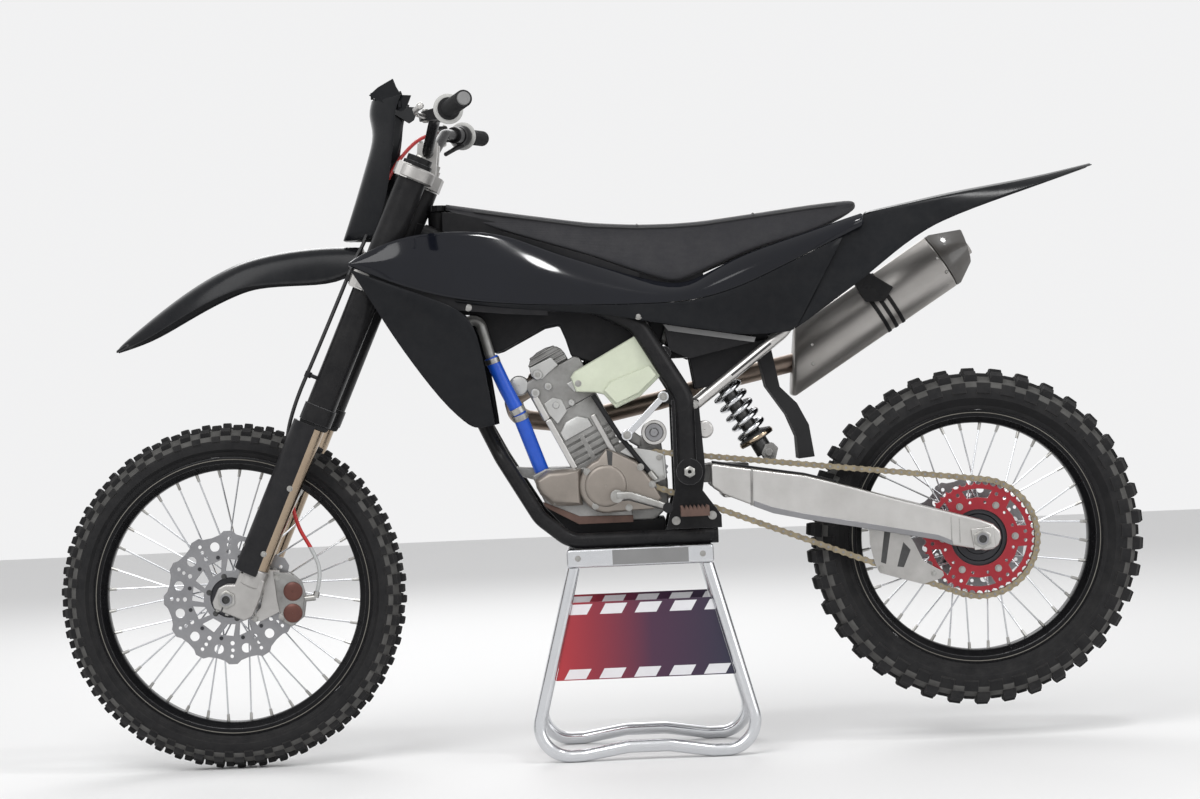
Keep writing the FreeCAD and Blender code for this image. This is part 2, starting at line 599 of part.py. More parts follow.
# Side view of the bodywork, from the front to the rear
# x, then y and z of the upper edge, of the crease, and of the side plate's lower edge
TANK = [(470, 157, 996, 157, 988), (431, 152, 1019, 163, 972), (355, 146, 1046, 168, 940),
        (264, 128, 1051, 166, 914, 160, 909), (166, 102, 1045, 156, 903, 144, 892),
        (86, 91, 1006, 148, 897, 137, 884), (-30, 91, 968, 138, 893, 127, 875),
        (-168, 93, 921, 124, 892, 116, 845), (-223, 93, 944, 121, 899, 113, 838),
        (-300, 90, 982, 117, 919, 109, 820), (-395, 86, 1010, 111, 963, 103, 826),
        (-545, 78, 1056, 88, 1030)]
# x, then the top's z and half-width, then the bottom's z and half-width
SEAT = [(283, 1112, 30, 1098, 40), (168, 1091, 44, 1050, 62), (0, 1062, 56, 994, 80),
        (-98, 1054, 62, 955, 84), (-168, 1053, 66, 930, 86), (-225, 1055, 68, 953, 84),
        (-329, 1066, 66, 993, 76), (-446, 1079, 62, 1022, 70), (-540, 1086, 58, 1066, 64)]
# x, then the middle's z, then half-width and z of the shoulder, then of the edge
TAIL = [(-395, 0, 79, 1034, 103, 826), (-515, 0, 74, 1040, 100, 908), (-556, 1062, 70, 1056, 96, 936),
        (-644, 1078, 66, 1072, 88, 1006), (-744, 1098, 60, 1090, 80, 1053),
        (-896, 1117, 46, 1110, 62, 1098), (-1012, 1140, 26, 1137, 34, 1134)]
# front edge and rear edge of the radiator wing, from the top down
WING = [((470, 160, 985), (466, 160, 981)), ((453, 160, 959), (314, 170, 921)),
        ((410, 157, 885), (241, 170, 889)), ((377, 152, 828), (220, 166, 835)),
        ((299, 140, 713), (205, 144, 720)), ((243, 130, 660), (198, 134, 666))]


WING_WALL = 3.5


def make_bodywork():
    wall = (0, -3, 0)
    tank = [(row[0] * LONG, *row[1:]) for row in TANK]
    save("tank_panels", both(skin([[(x, yu, zu), (x, (yu + yc) / 2 + 8, (zu + zc) / 2), (x, yc, zc)]
                                   for x, yu, zu, yc, zc, *_ in tank], wall)))
    save("side_plates", both(skin([[(row[0], row[3], row[4] - SEAT_GAP), (row[0], row[5], row[6])]
                                   for row in tank if len(row) == 7], wall)))
    wing = skin([[(x * LONG, y, z) for x, y, z in station] for station in WING], (0, -WING_WALL, 0))
    save("radiator_wings", both(wing))
    corners = [behind_tube(d, z) for d, z in ((21, 716), (-11, 716), (19, 895), (51, 895))]
    radiator = plate([(p.x, p.z) for p in corners], 58, 124)
    bosses = [across(behind_tube(d, z).x, z, 120, 156, 8) for d, z in ((32, 790), (27, 850))]
    outside = skin([[(x * LONG, y - WING_WALL - SEAT_GAP, z) for x, y, z in station] for station in WING],
                   (0, 20, 0))
    save("radiators", both(fuse([radiator, *bosses]).cut(outside)))
    hose = bent_tube([tuple(behind_tube(27, 770, 92)), tuple(behind_tube(72, 760, 92)), (150, 80, 690),
                      (118, 60, 648), (80, 44, 628)], 12, 24)
    cylinder = fuse([cylinder_body(), slab(47, 59, 6, HEAD_S, 50, EDGE_Y)])
    save("coolant_hoses", hose.cut([radiator, cylinder]))
    seat = [(row[0] * LONG, *row[1:]) for row in SEAT]
    rings = [[(x, -wb, zb), (x, -wt - 6, zt - 9), (x, -wt, zt), (x, wt, zt), (x, wt + 6, zt - 9), (x, wb, zb)]
             for x, zt, wt, zb, wb in seat]
    frame_room = [*both(spar(SPAR_R + SEAT_GAP)), neck(SEAT_GAP)]
    save("seat", loft(rings).cut(frame_room))
    tail = [(row[0] * LONG, *row[1:]) for row in TAIL]
    sides = [[(x - SEAT_GAP, ws, zs), (x - SEAT_GAP, we, ze)] for x, zm, ws, zs, we, ze in tail[:3]]
    top = [[(x, -we, ze), (x, -ws, zs), (x, 0, zm), (x, ws, zs), (x, we, ze)]
           for x, zm, ws, zs, we, ze in tail[2:]]
    top[0] = [(x - SEAT_GAP, y, z) for x, y, z in top[0]]
    save("rear_fender", [*both(skin(sides, wall)), skin(top, (0, 0, -3))])
    body = loft([[(x, 6 - w, zb - 70), (x, w - 6, zb - 70), (x, w - 3, zb - SEAT_GAP),
                  (x, 3 - w, zb - SEAT_GAP)] for x, zt, wt, zb, w in seat[1:4]])
    save("fuel_tank", body.cut([*frame_room, tie(SEAT_GAP)]))


def behind_tube(distance, z, y=0.0):
    """A point at height z, a distance behind the middle of the down tube."""
    share = (z - DOWN_FOOT.z) / (DOWN_TOP.z - DOWN_FOOT.z)
    return V(DOWN_FOOT.x + (DOWN_TOP.x - DOWN_FOOT.x) * share - distance, y, z)


def spar(r):
    """Left frame tube, from the steering head over the engine and down to the pivot."""
    head = [(330 + NOSE.x, 30, 1055 + NOSE.z), (250 + NOSE.x, 38, 1016 + NOSE.z)]
    return bent_tube([*head, (-88 * LONG, SPAR_Y, 856), (-176 * LONG, SPAR_Y, 707),
                      (-176 * LONG, SPAR_Y, PIVOT.z)], r, 60)


def tie(extra):
    return across(-140 * LONG, 794, -SPAR_Y, SPAR_Y, 14 + extra)


def neck(extra=0.0):
    """Gusset from the steering head back to the two spars, grown all round by extra."""
    return loft([[(x + NOSE.x, -w - extra, z0 + NOSE.z - extra), (x + NOSE.x, w + extra, z0 + NOSE.z - extra),
                  (x + NOSE.x, w + extra, z1 + NOSE.z + extra), (x + NOSE.x, -w - extra, z1 + NOSE.z + extra)]
                 for x, w, z0, z1 in ((372 + extra, 16, 1010, 1090), (240 - extra, 48, 990, 1034))])


def make_frame():
    axis0 = fork_point(LOW_CLAMP_S + LOW_CLAMP_T / 2 + 3, -CLAMP_OFFSET)
    axis1 = fork_point(TOP_CLAMP_S - TOP_CLAMP_T / 2 - 3, -CLAMP_OFFSET)
    stem_bore = rod(axis0, axis1, STEM_R + FIT)
    pivot_bore = across(PIVOT.x, PIVOT.z, -200, 200, PIVOT_R + FIT)
    rail_top = RAIL_Z + RAIL_R + SEAT_GAP
    side = plate(spread([(-150, 700), (-204, 700), (-212, 560), (-205, 520), (-240, 470), (-240, rail_top),
                         (-130, rail_top), (-150, 520)]), PLATE_Y0, PLATE_Y1)
    boss = across(PIVOT.x, PIVOT.z, PLATE_Y0 - 2, 114, 26)
    mount = block(-240 * LONG, -140 * LONG, -28, 28, 784, 806)
    tab = [(STAY_TOP.x + x, STAY_TOP.z + z) for x, z in ((-37, -20), (-37, 20), (1, 12), (12, 0), (1, -12))]
    stay_tab = plate(tab, STAY_Y - 10, STAY_Y - SEAT_GAP)
    half_frame = fuse([spar(SPAR_R), side, boss])
    frame = fuse([rod(axis0, axis1, HEAD_R), neck(), tie(0), mount, stay_tab, *both(half_frame)])
    save("main_frame", frame.cut([stem_bore, pivot_bore]))
    down = bent_tube([tuple(DOWN_TOP), tuple(DOWN_FOOT), (232 * LONG, 0, 670)], 19, 20)
    rail = bent_tube([(234 * LONG, 10, 690), (190 * LONG, 62, 600), (118 * LONG, 88, 478),
                      (60 * LONG, 92, RAIL_Z), (-232 * LONG, 92, RAIL_Z)], RAIL_R, 60)
    swing = rod(axis0 - up * 90, axis0 + up * 2.5, SWEEP_R)
    clear = fuse([rod(axis0 - up * 60, axis1, HEAD_R + SEAT_GAP), neck()])
    stays = [rod(behind_tube(d, z), behind_tube(d, z, 58 - SEAT_GAP), 7) for d, z in ((6.5, 740), (17, 880))]
    save("cradle", fuse([down, *both(rail), *stays, *map(mirror, stays)]).cut([clear, swing]))
    make_swingarm(pivot_bore)
    upper = bent_tube([(-112 * LONG, SPAR_Y - SPAR_R - 11 - SEAT_GAP, 866), (-330 * LONG, 66, 960),
                       (-560 * LONG, 61, 1030)], 11, 60)
    lower = bent_tube([(-176 * LONG, 86, 673), (-380 * LONG, 80, 826), (-500 * LONG, 63.5, 1008)], 11, 60)
    save("subframe", both(fuse([upper, lower]).cut(half_frame)))
    flap = plate(spread([(-325, 850), (-392, 691), (-428, 569), (-432, 569), (-396, 691), (-340, 850)]),
                 -45, 45)
    save("airbox", fuse([airbox(), flap]))


def airbox():
    return loft([[(x * LONG, -w, z0), (x * LONG, w, z0), (x * LONG, w, z1), (x * LONG, -w, z1)]
                 for x, w, z0, z1 in
                 ((-150, 54.4, 812, 880), (-230, 54.4, 812, 925), (-340, 54.4, 850, 962))])


SWEEP_R = 54.0               # room for the lower clamp's back as it turns


def make_swingarm(pivot_bore):
    # side view of an arm, from the pivot to the axle, measured from the rear axle
    nose = [(-222, 573), (-279, 563), (-409, 541), (-506, 513), (-585, 488), (-695, 456), (-749, 440)]
    tail = [(-775, 383, -755, 378), (-692, 391), (-664, 403), (-503, 436), (-405, 455), (-341, 470),
            (-244, 511), (-222, 526)]
    arm = plate(spread([*nose, (-780, 428, -788, 402), *tail]), ARM_Y0, ARM_Y1)
    adjuster = plate([(REAR_AXLE.x + x, REAR_AXLE.z + z) for x, z in
                      ((-24, -18), (14, -22), (20, 20), (-20, 24))], ARM_Y1 - 2, ARM_Y1 + 7)
    axle_bore = across(REAR_AXLE.x, REAR_AXLE.z, -200, 200, AXLE_R + FIT)
    beam = block(-365 * LONG, -240 * LONG, -ARM_Y0 - 2, ARM_Y0 + 2, 500, 555)
    hub_tube = across(PIVOT.x, PIVOT.z, -76, 58, 24)
    links = [block(-300 * LONG, -190 * LONG, y0, y1, 532, 572) for y0, y1 in ((36, 58), (-76, -36))]
    shaft = pipe(PIVOT + V(0, -118, 0), PIVOT + V(0, 118, 0), PIVOT_R, 5)
    arms = fuse([*both(arm), *both(adjuster), beam, hub_tube, *links]).cut([axle_bore, pivot_bore])
    save("swingarm", [arms, shaft])


def cylinder_plate(points, y0, y1):
    """Flat piece in the cylinder's own axes: a point is (forward of its axis, height along it)."""
    c, s = math.cos(LEAN), math.sin(LEAN)
    foot = CYLINDER_FOOT
    return plate([(foot.x + s * h + c * a, foot.z + c * h - s * a) for a, h in points], y0, y1)


def slab(back, front, s0, s1, y0, y1):
    return cylinder_plate([(back, s0), (front, s0), (front, s1), (back, s1)], y0, y1)


CYLINDER_Y = 62.0            # half-widths of the cylinder and the head
HEAD_Y = 66.0
HEAD_S = 118.0               # heights of the joint and of the head's top, along the cylinder
HEAD_TOP_S = 205.0
EDGE_Y = 72.0                # outer face of the edge rails


def cylinder_body():
    return slab(-57, 57, -60, HEAD_S, -CYLINDER_Y, CYLINDER_Y).common(above_cases())


def above_cases():
    return block(-64, 200, -200, 200, CASE_TOP + SEAT_GAP, 1000)


def crowned(points, y0, y1, y2, share):
    """Plate from y0 to y1 whose crown narrows to a share of it at y2."""
    cx = sum(x for x, z in points) / len(points)
    cz = sum(z for x, z in points) / len(points)
    top = [(cx + (x - cx) * share, y2, cz + (z - cz) * share) for x, z in points]
    return fuse([plate(points, y0, y1), loft([[(x, y1, z) for x, z in points], top])])


STARTER = V(-114, 0, 638)
STAY_FOOT = V(-60, 0, 635)   # link bar from the cases up to the frame
STAY_TOP = V(-135, 0, 708)
STAY_Y = 94.0                # inner face of its eyes


def make_cases():
    crank = plate([(132, 562), (105, 500), (40, 464), (-66, 464), (-66, CASE_TOP), (104, CASE_TOP)],
                  -95, CASE_Y)
    gearbox = plate([(-66, 464), (-110, 464), (-138, 490), (-138, 540), (-125, 640), (-84, 630),
                     (-80, CASE_TOP), (-66, CASE_TOP)], SEAT_GAP - PLATE_Y0, 50)
    front_lug = plate([(122, 552), (166, 564), (170, 580), (118, 574)], -30, 30)
    output = across(COUNTERSHAFT.x, COUNTERSHAFT.z, 50, 76, SHAFT_R - FIT)
    starter = fuse([across(STARTER.x, STARTER.z, 30, 84, 25).cut(across(STARTER.x, STARTER.z, 78, 90, 18)),
                    across(STARTER.x, STARTER.z, 30, 87, 9)])
    foot = [(STAY_FOOT.x + x, STAY_FOOT.z + z) for x, z in
            ((-32, -31), (-6, -15), (7, 1), (3, 11), (-8, 11), (-32, -7))]
    post = across(STAY_FOOT.x, STAY_FOOT.z, 36, STAY_Y + 13, 6)
    eyes = [across(p.x, p.z, STAY_Y, STAY_Y + 10, 11) for p in (STAY_FOOT, STAY_TOP)]
    half = (STAY_TOP - STAY_FOOT).cross(V(0, 1, 0)).normalize() * 6.5
    bar = plate([(p.x, p.z) for p in (STAY_FOOT + half, STAY_TOP + half, STAY_TOP - half, STAY_FOOT - half)],
                STAY_Y + 1, STAY_Y + 9)
    save("crankcase", fuse([crank, gearbox, front_lug, output, starter, plate(foot, 36, 50), post, *eyes, bar]))


COVER_SCREWS = [(-84, 571), (-106, 536), (-113, 498), (-58, 492), (8, 498), (22, 566)]
CLUTCH = V(-30, 0, 545)


def make_covers():
    side = plate([(-30, 484), (38, 530, 0, 590), (-17, 610), (-33, 605), (-77, 582), (-104, 546), (-124, 508),
                  (-108, 487)], CASE_Y + SEAT_GAP, COVER_Y)
    chain_room = block(-200, -66, 0, 78, 400, 700)
    drum = across(-14, 537, COVER_Y, COVER_Y + 6, 41)
    shaft_boss = across(-35, 516, COVER_Y, COVER_Y + 12, 12)
    groove = plate([(-17, 620), (-31, 620), (-28, 566), (-20, 566)], COVER_Y - 5, COVER_Y + 10)
    screws = [across(x, z, COVER_Y, COVER_Y + 4, 6) for x, z in COVER_SCREWS]
    union = rod(V(-101, 86, 560), V(-113, 86, 544), 8)
    left = fuse([side.cut(chain_room), drum, shaft_boss, *screws, union]).cut(groove)
    front = crowned([(33, 500), (92, 502), (116, 524), (126, 554), (101, 572), (33, 573)],
                    CASE_Y + SEAT_GAP, 86, 97, 0.78)
    clutch = [across(CLUTCH.x, CLUTCH.z, -118, -95 - SEAT_GAP, 70), across(CLUTCH.x, CLUTCH.z, -126, -118, 56)]
    lugs = [across(CLUTCH.x + x, CLUTCH.z + z, -112, -95 - SEAT_GAP, 8)
            for x, z in (polar(70, 60 * i) for i in range(6))]
    save("engine_covers", [fuse([left, front]), fuse([*clutch, *lugs])])


def make_top_end():
    grooves = [slab(-80, 80, s, s + 5, -80, 80).cut(slab(-49, 49, s, s + 5, -54, 54))
               for s in (8, 22, 36, 50)]
    rib = slab(6, 15, 4, 60, 50, CYLINDER_Y)
    panel = cylinder_plate([(-20, 64), (46, 64), (46, 82), (26, 98), (-2, 98), (-20, 82)], 54, 67)
    edges = [slab(47, 59, 6, HEAD_S, 50, EDGE_Y), slab(-35, -24, -6, 84, 50, EDGE_Y)]
    save("cylinder", fuse([cylinder_body().cut(grooves), rib, panel, *edges]).common(above_cases()))
    cap = across(150, 742, 18, HEAD_Y, 20)
    block_part = slab(-62, 62, HEAD_S + SEAT_GAP, HEAD_TOP_S, -HEAD_Y, HEAD_Y)
    edge = cylinder_plate([(48, HEAD_S + SEAT_GAP), (60, HEAD_S + SEAT_GAP), (60, 168), (54, 178), (48, 172)],
                          60, EDGE_Y)
    cover = cylinder_plate([(-40, HEAD_TOP_S), (37, HEAD_TOP_S), (37, 230), (20, 248), (-24, 248), (-40, 230)],
                           -60, 60)
    cover = cover.cut([slab(-50, 50, s, s + 4, 56, 80) for s in (212, 222, 232)])
    bosses = [across(x, z, HEAD_Y - 6, y, r) for x, z, y, r in
              ((112, 762, 76, 10), (92, 738, 73, 8), (118, 726, 74, 9), (47, 704, 70, 7), (78, 700, 71, 7))]
    head = fuse([block_part, edge, cover, cap, *bosses])
    save("cylinder_head", head)
    rise = V(math.sin(LEAN), 0, math.cos(LEAN))
    port = CYLINDER_FOOT + rise * 160 + V(-math.cos(LEAN), 0, math.sin(LEAN)) * 60
    inlet = V(-152 * LONG, 0, 846)
    along = (inlet - port).normalize()
    reach = (inlet - port).Length
    throat = fuse([rod(port, inlet, 24), rod(port + along * 34, port + along * 112, 30),
                   rod(port + along * 70 + V(0, -46, 0), port + along * 70 + V(0, 46, 0), 13),
                   rod(port + along * (reach - 22), inlet, 31)])
    save("throttle_body", throat.cut([head, airbox()]))
    return head


def make_exhaust(head):
    axis0, axis1 = V(-419, -146, 765), V(-765, -150, 982)
    d = (axis1 - axis0).normalize()
    n = d.cross(V(0, 1, 0)).normalize()

    def hexagon(at, tall, wide):
        ring = ((1, 0.45), (1, -0.45), (0, -1), (-1, -0.45), (-1, 0.45), (0, 1))
        return [tuple(at + n * (tall * a) + V(0, wide * b, 0)) for a, b in ring]

    can = [loft([hexagon(axis0, 46, 40), hexagon(axis0 + d * 30, 54, 47), hexagon(axis1, 54, 47)])]
    for s in (140, 200, 262):
        can.append(loft([hexagon(axis0 + d * s, 55.5, 48.5), hexagon(axis0 + d * (s + 15), 55.5, 48.5)]))
    can = fuse(can)
    end = loft([hexagon(axis1 + d * SEAT_GAP, 54, 47), hexagon(axis1 + d * 30, 40, 36)])
    save("silencer", [can, end.cut(rod(axis1 + d * 10, axis1 + d * 40, 17))])
    header = bent_tube([(108, -20, 752), (168, -76, 718), (160, -124, 676), (60, -138, 662),
                        (-130, -140, 700), (-290, -138, 742), tuple(axis0 + d * 10)], 19, 38)
    save("exhaust_pipe", header.cut([head, can]))


def make_catch_tank():
    catch = plate([(47, 754), (37, 725), (1, 722), (-18, 717), (-41, 689), (-89, 710),
                   (-132, 750), (-86, 832), (39, 765)], 66 + SEAT_GAP, 100)
    ridge = plate([(-18, 722), (-34, 700), (-92, 722), (-124, 752), (-30, 744)], 100, 104)
    save("catch_tank", fuse([catch, ridge]).cut([spar(SPAR_R + SEAT_GAP), across(32, 741, 90, 110, 4)]))
    # vent hose, from under the tank to the union on the left cover
    save("breather_hose", bent_tube([(4, 84, 717), (-44, 86, 636), (-100.6, 86, 560.6)], 5, 60))


SPRING_S0 = 37.0             # the spring's ends along the damper
SPRING_S1 = 178.0
SPRING_R = 29.0
SPRING_WIRE_R = 5.5
SPRING_PITCH = 22.0


def shock():
    """Damper with its collars, and a coil spring between them."""
    top, bottom = V(-227 * LONG, 0, 783), V(-346 * LONG, 0, 572)
    along = (bottom - top).normalize()
    body = [rod(top, bottom, 20), rod(top + along * 20, top + along * (SPRING_S0 - SPRING_WIRE_R), 36),
            rod(top + along * (SPRING_S1 + SPRING_WIRE_R), top + along * 196, 36)]
    keep = block(-400, 0, -60, 60, 555 + SEAT_GAP, 784 - SEAT_GAP)
    coil = Part.makeHelix(SPRING_PITCH, SPRING_S1 - SPRING_S0, SPRING_R)
    ring = Part.makePolygon([V(SPRING_R, 0, 0) + V(*polar(SPRING_WIRE_R, 60 * i + 30), 0).cross(V(1, 0, 0))
                             + V(polar(SPRING_WIRE_R, 60 * i + 30)[0], 0, 0) for i in range(7)])
    spring = coil.makePipeShell([Part.Wire(ring)], True, True)
    spring.Placement = FreeCAD.Placement(top + along * SPRING_S0, FreeCAD.Rotation(V(0, 0, 1), along))
    return [fuse(body).common(keep), spring]


def make_controls():
    teeth = []
    for i in range(7):
        teeth += [(-214 + 8 * i, 486), (-210 + 8 * i, 494)]
    peg = plate(spread([(-214, 472), *teeth, (-158, 486), (-158, 472)]), 116, 178)
    stub = block(-206 * LONG, -166 * LONG, PLATE_Y1 + SEAT_GAP, 118, 470, 484)
    save("footpegs", both(fuse([peg, stub])))
    shift = fuse([rod(V(-35, 112 + SEAT_GAP, 516), V(-35, 128, 516), 9),
                  rod(V(-35, 124, 516), V(-134, 128, 490), 7),
                  rod(V(-134, 112, 490), V(-134, 156, 490), 8)])
    pivot_x = -176 * LONG
    pedal = fuse([rod(V(pivot_x, -114 - SEAT_GAP, 522), V(pivot_x, -134, 522), 11),
                  bent_tube([(pivot_x, -128, 522), (-60, -134, 462), (30, -134, 486)], 7, 40),
                  rod(V(30, -116, 486), V(30, -152, 486), 9)])
    save("foot_controls", [shift, pedal])
    guide = plate(spread([(-532, 450), (-600, 428), (-621, 396), (-636, 362), (-674, 339), (-672, 325),
                          (-634, 315), (-549, 341), (-532, 400)]), CHAIN_Y + 10, ARM_Y0 - SEAT_GAP)
    save("chain_guide", guide)
    # seen from the side, from the rear axle
    body = plate([(REAR_AXLE.x + x, REAR_AXLE.z + z) for x, z in
                  ((137.5, 68), (109.5, 40), (109.5, 0), (149.5, -6), (159.5, 38))],
                 SEAT_GAP - ARM_Y0, REAR_DISC_Y + 20)
    slot = rod(REAR_AXLE + V(0, REAR_DISC_Y - 7, 0), REAR_AXLE + V(0, REAR_DISC_Y + 7, 0), 126)
    save("rear_caliper", body.cut(slot))


STAND_TUBE_R = 12.5
STAND_X = -76.0
STAND_TOP_Y = 104.0
STAND_FOOT_Y = 145.0
DECK_T = 37.0


def make_stand():
    top_z = STAND_H - DECK_T
    foot_z = STAND_TUBE_R

    def loop_y(z):
        return STAND_TOP_Y + (STAND_FOOT_Y - STAND_TOP_Y) * (top_z - z) / (top_z - foot_z)

    half = [(132, top_z), (228, foot_z), (128, foot_z), (40, foot_z + 14)]
    path = half + [(-x, z) for x, z in reversed(half)]
    loop = bent_tube([(STAND_X + x, loop_y(z), z) for x, z in path], STAND_TUBE_R, 58)
    save("stand_legs", both(loop.common(block(-400, 300, 60, 220, 0, top_z - SEAT_GAP))))
    save("stand_deck", block(STAND_X - 145, STAND_X + 145, -120, 120, top_z, STAND_H))
    sheet = []
    for share in (0.42, 0.82):
        z = top_z * share
        x = 132 + 96 * (top_z - z) / (top_z - foot_z) - STAND_TUBE_R - 1
        y = loop_y(z)
        sheet.append([(STAND_X - x, y - 1, z), (STAND_X + x, y - 1, z), (STAND_X + x, y + 1, z),
                      (STAND_X - x, y + 1, z)])
    save("stand_panels", both(loft(sheet)))


make_wheels()
make_running_gear()
make_fork()
make_steering()
make_bars()
make_bodywork()
make_frame()
make_cases()
make_covers()
make_exhaust(make_top_end())
make_catch_tank()
save("shock", shock())
make_controls()
make_stand()
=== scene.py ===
# %% [markdown]
# # A motocross motorcycle on its paddock stand
# The rigid skeleton of this model was drawn in CAD and packed with its joints. This lesson
# dresses that skeleton: it loads it, keeps what is already right, and replaces plain solids by
# shapes with the roundness, ribs, links and bolts that the real machine shows.

# %% Load the frame
import json
import math
import bpy
import bmesh
from mathutils import Matrix, Vector


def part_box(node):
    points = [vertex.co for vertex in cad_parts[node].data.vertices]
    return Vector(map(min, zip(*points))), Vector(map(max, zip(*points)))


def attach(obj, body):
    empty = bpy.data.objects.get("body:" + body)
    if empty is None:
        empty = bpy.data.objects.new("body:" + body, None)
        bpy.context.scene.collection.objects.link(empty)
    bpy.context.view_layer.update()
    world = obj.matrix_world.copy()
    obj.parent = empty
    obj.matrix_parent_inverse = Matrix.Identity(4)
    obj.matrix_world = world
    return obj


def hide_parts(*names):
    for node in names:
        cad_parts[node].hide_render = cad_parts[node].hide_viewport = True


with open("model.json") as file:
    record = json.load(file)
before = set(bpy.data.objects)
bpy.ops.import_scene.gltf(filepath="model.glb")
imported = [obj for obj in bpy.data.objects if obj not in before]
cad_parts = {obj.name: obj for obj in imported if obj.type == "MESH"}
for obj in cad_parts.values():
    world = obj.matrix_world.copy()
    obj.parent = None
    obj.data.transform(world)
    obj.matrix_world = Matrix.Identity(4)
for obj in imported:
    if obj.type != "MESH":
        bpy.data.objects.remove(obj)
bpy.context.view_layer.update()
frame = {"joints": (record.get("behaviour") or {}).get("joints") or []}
scene = bpy.context.scene

# %% [markdown]
# ## Camera and studio
# The camera stands 5.6 m to the motorcycle's left, at the height of its engine, and is rolled a
# little. A long lens keeps the wheels round. The studio is a pale floor under a pale sky, which
# the camera and mirror-like surfaces see a little brighter than it shines.

# %% Camera
LENS_MM = 83.58
ROLL = math.radians(2.45)
CAMERA_AT = (-0.0098, 5.6, 0.7077)
camera = bpy.data.objects.new("camera", bpy.data.cameras.new("camera"))
camera.data.lens = LENS_MM
camera.data.sensor_width = 36.0
right = Vector((-math.cos(ROLL), 0, -math.sin(ROLL)))
upward = Vector((-math.sin(ROLL), 0, math.cos(ROLL)))
turn = Matrix((right, upward, (0, 1, 0))).transposed().to_4x4()
camera.matrix_world = Matrix.Translation(CAMERA_AT) @ turn
scene.collection.objects.link(camera)
scene.camera = camera
scene.view_settings.view_transform = "Standard"
print("camera at", tuple(round(c, 3) for c in camera.location))

# %% Studio light
# name, place, what it faces, diameter and power
LAMPS = (("key", (1.8, 3.6, 4.2), (0, 0, 0.5), 3.2, 120),
         ("fill", (-3.6, 2.8, 2.4), (0, 0, 0.6), 3.0, 45),
         ("back", (0.5, -3.8, 3.2), (0, 0, 0.6), 3.0, 60),
         ("tank_glint", (-1.17, 1.4, 4.2), (0.08, 0.12, 0.97), 0.42, 21))
SKY_COLOUR, SKY_LIGHT, SKY_SEEN = (0.93, 0.93, 0.935, 1), 0.7, 0.95
for name, where, towards, size, power in LAMPS:
    data = bpy.data.lights.new(name, "AREA")
    data.shape = "DISK"
    data.size = size
    data.energy = power
    lamp = bpy.data.objects.new(name, data)
    lamp.location = where
    lamp.rotation_euler = (Vector(towards) - Vector(where)).to_track_quat("-Z", "Y").to_euler()
    scene.collection.objects.link(lamp)
world = bpy.data.worlds.new("studio")
scene.world = world
world.use_nodes = True
world_tree = world.node_tree
backdrop = world_tree.nodes["Background"]
backdrop.inputs["Color"].default_value = SKY_COLOUR
light_path = world_tree.nodes.new("ShaderNodeLightPath")
strength = world_tree.nodes.new("ShaderNodeMapRange")
strength.inputs["To Min"].default_value = SKY_LIGHT
strength.inputs["To Max"].default_value = SKY_SEEN
seen = light_path.outputs["Is Camera Ray"]
for ray in ("Is Glossy Ray", "Is Transmission Ray"):
    both = world_tree.nodes.new("ShaderNodeMath")
    both.operation = "ADD"
    both.use_clamp = True
    world_tree.links.new(seen, both.inputs[0])
    world_tree.links.new(light_path.outputs[ray], both.inputs[1])
    seen = both.outputs[0]
world_tree.links.new(seen, strength.inputs["Value"])
world_tree.links.new(strength.outputs["Result"], backdrop.inputs["Strength"])

# %% Floor
FLOOR = 9


def new_material(name):
    """Material with its node tree and its surface shader."""
    material = bpy.data.materials.new(name)
    material.use_nodes = True
    return material, material.node_tree, material.node_tree.nodes["Principled BSDF"]


floor_mesh = bpy.data.meshes.new("floor")
corners = [(-FLOOR, -FLOOR, 0), (FLOOR, -FLOOR, 0), (FLOOR, FLOOR, 0), (-FLOOR, FLOOR, 0)]
floor_mesh.from_pydata(corners, [], [(0, 1, 2, 3)])
floor = bpy.data.objects.new("floor", floor_mesh)
scene.collection.objects.link(floor)
paint, tree, surface = new_material("floor_paint")
surface.inputs["Base Color"].default_value = (0.82, 0.82, 0.82, 1)
surface.inputs["Roughness"].default_value = 0.7
floor_mesh.materials.append(paint)
print("floor laid at height", floor.location.z)

# %% [markdown]
# ## Shared surface effects
# Real finishes are never one flat colour. Four small node groups put out the same kinds of
# change wherever they are used: cloudy patches, fine grain, worn edges and settled dust. Each
# material sets its own amounts.


# %% Node group helpers
def new_group(name, inputs, outputs):
    """Node group with number inputs, and its two end nodes."""
    group = bpy.data.node_groups.new(name, "ShaderNodeTree")
    for label, value in inputs:
        socket = group.interface.new_socket(label, in_out="INPUT", socket_type="NodeSocketFloat")
        socket.default_value = value
    for label, kind in outputs:
        group.interface.new_socket(label, in_out="OUTPUT", socket_type=kind)
    return group, group.nodes.new("NodeGroupInput"), group.nodes.new("NodeGroupOutput")


def node(tree, kind, values=(), **settings):
    """Node whose sockets take values and whose properties take settings."""
    made = tree.nodes.new(kind)
    for key, value in settings.items():
        setattr(made, key, value)
    for key, value in dict(values).items():
        made.inputs[key].default_value = value
    return made


def own_place(tree):
    """Where a point lies on its own object."""
    return node(tree, "ShaderNodeTexCoord").outputs["Object"]


def math_node(tree, operation, a, b=None, clamp=False):
    """Result of an operation on sockets or numbers."""
    made = node(tree, "ShaderNodeMath", operation=operation, use_clamp=clamp)
    for index, value in enumerate((a, b)):
        if hasattr(value, "links"):
            tree.links.new(value, made.inputs[index])
        elif value is not None:
            made.inputs[index].default_value = value
    return made.outputs[0]


def own_axes(tree):
    """X, Y and Z of a point's place on its own object."""
    split = node(tree, "ShaderNodeSeparateXYZ")
    tree.links.new(own_place(tree), split.inputs[0])
    return split.outputs


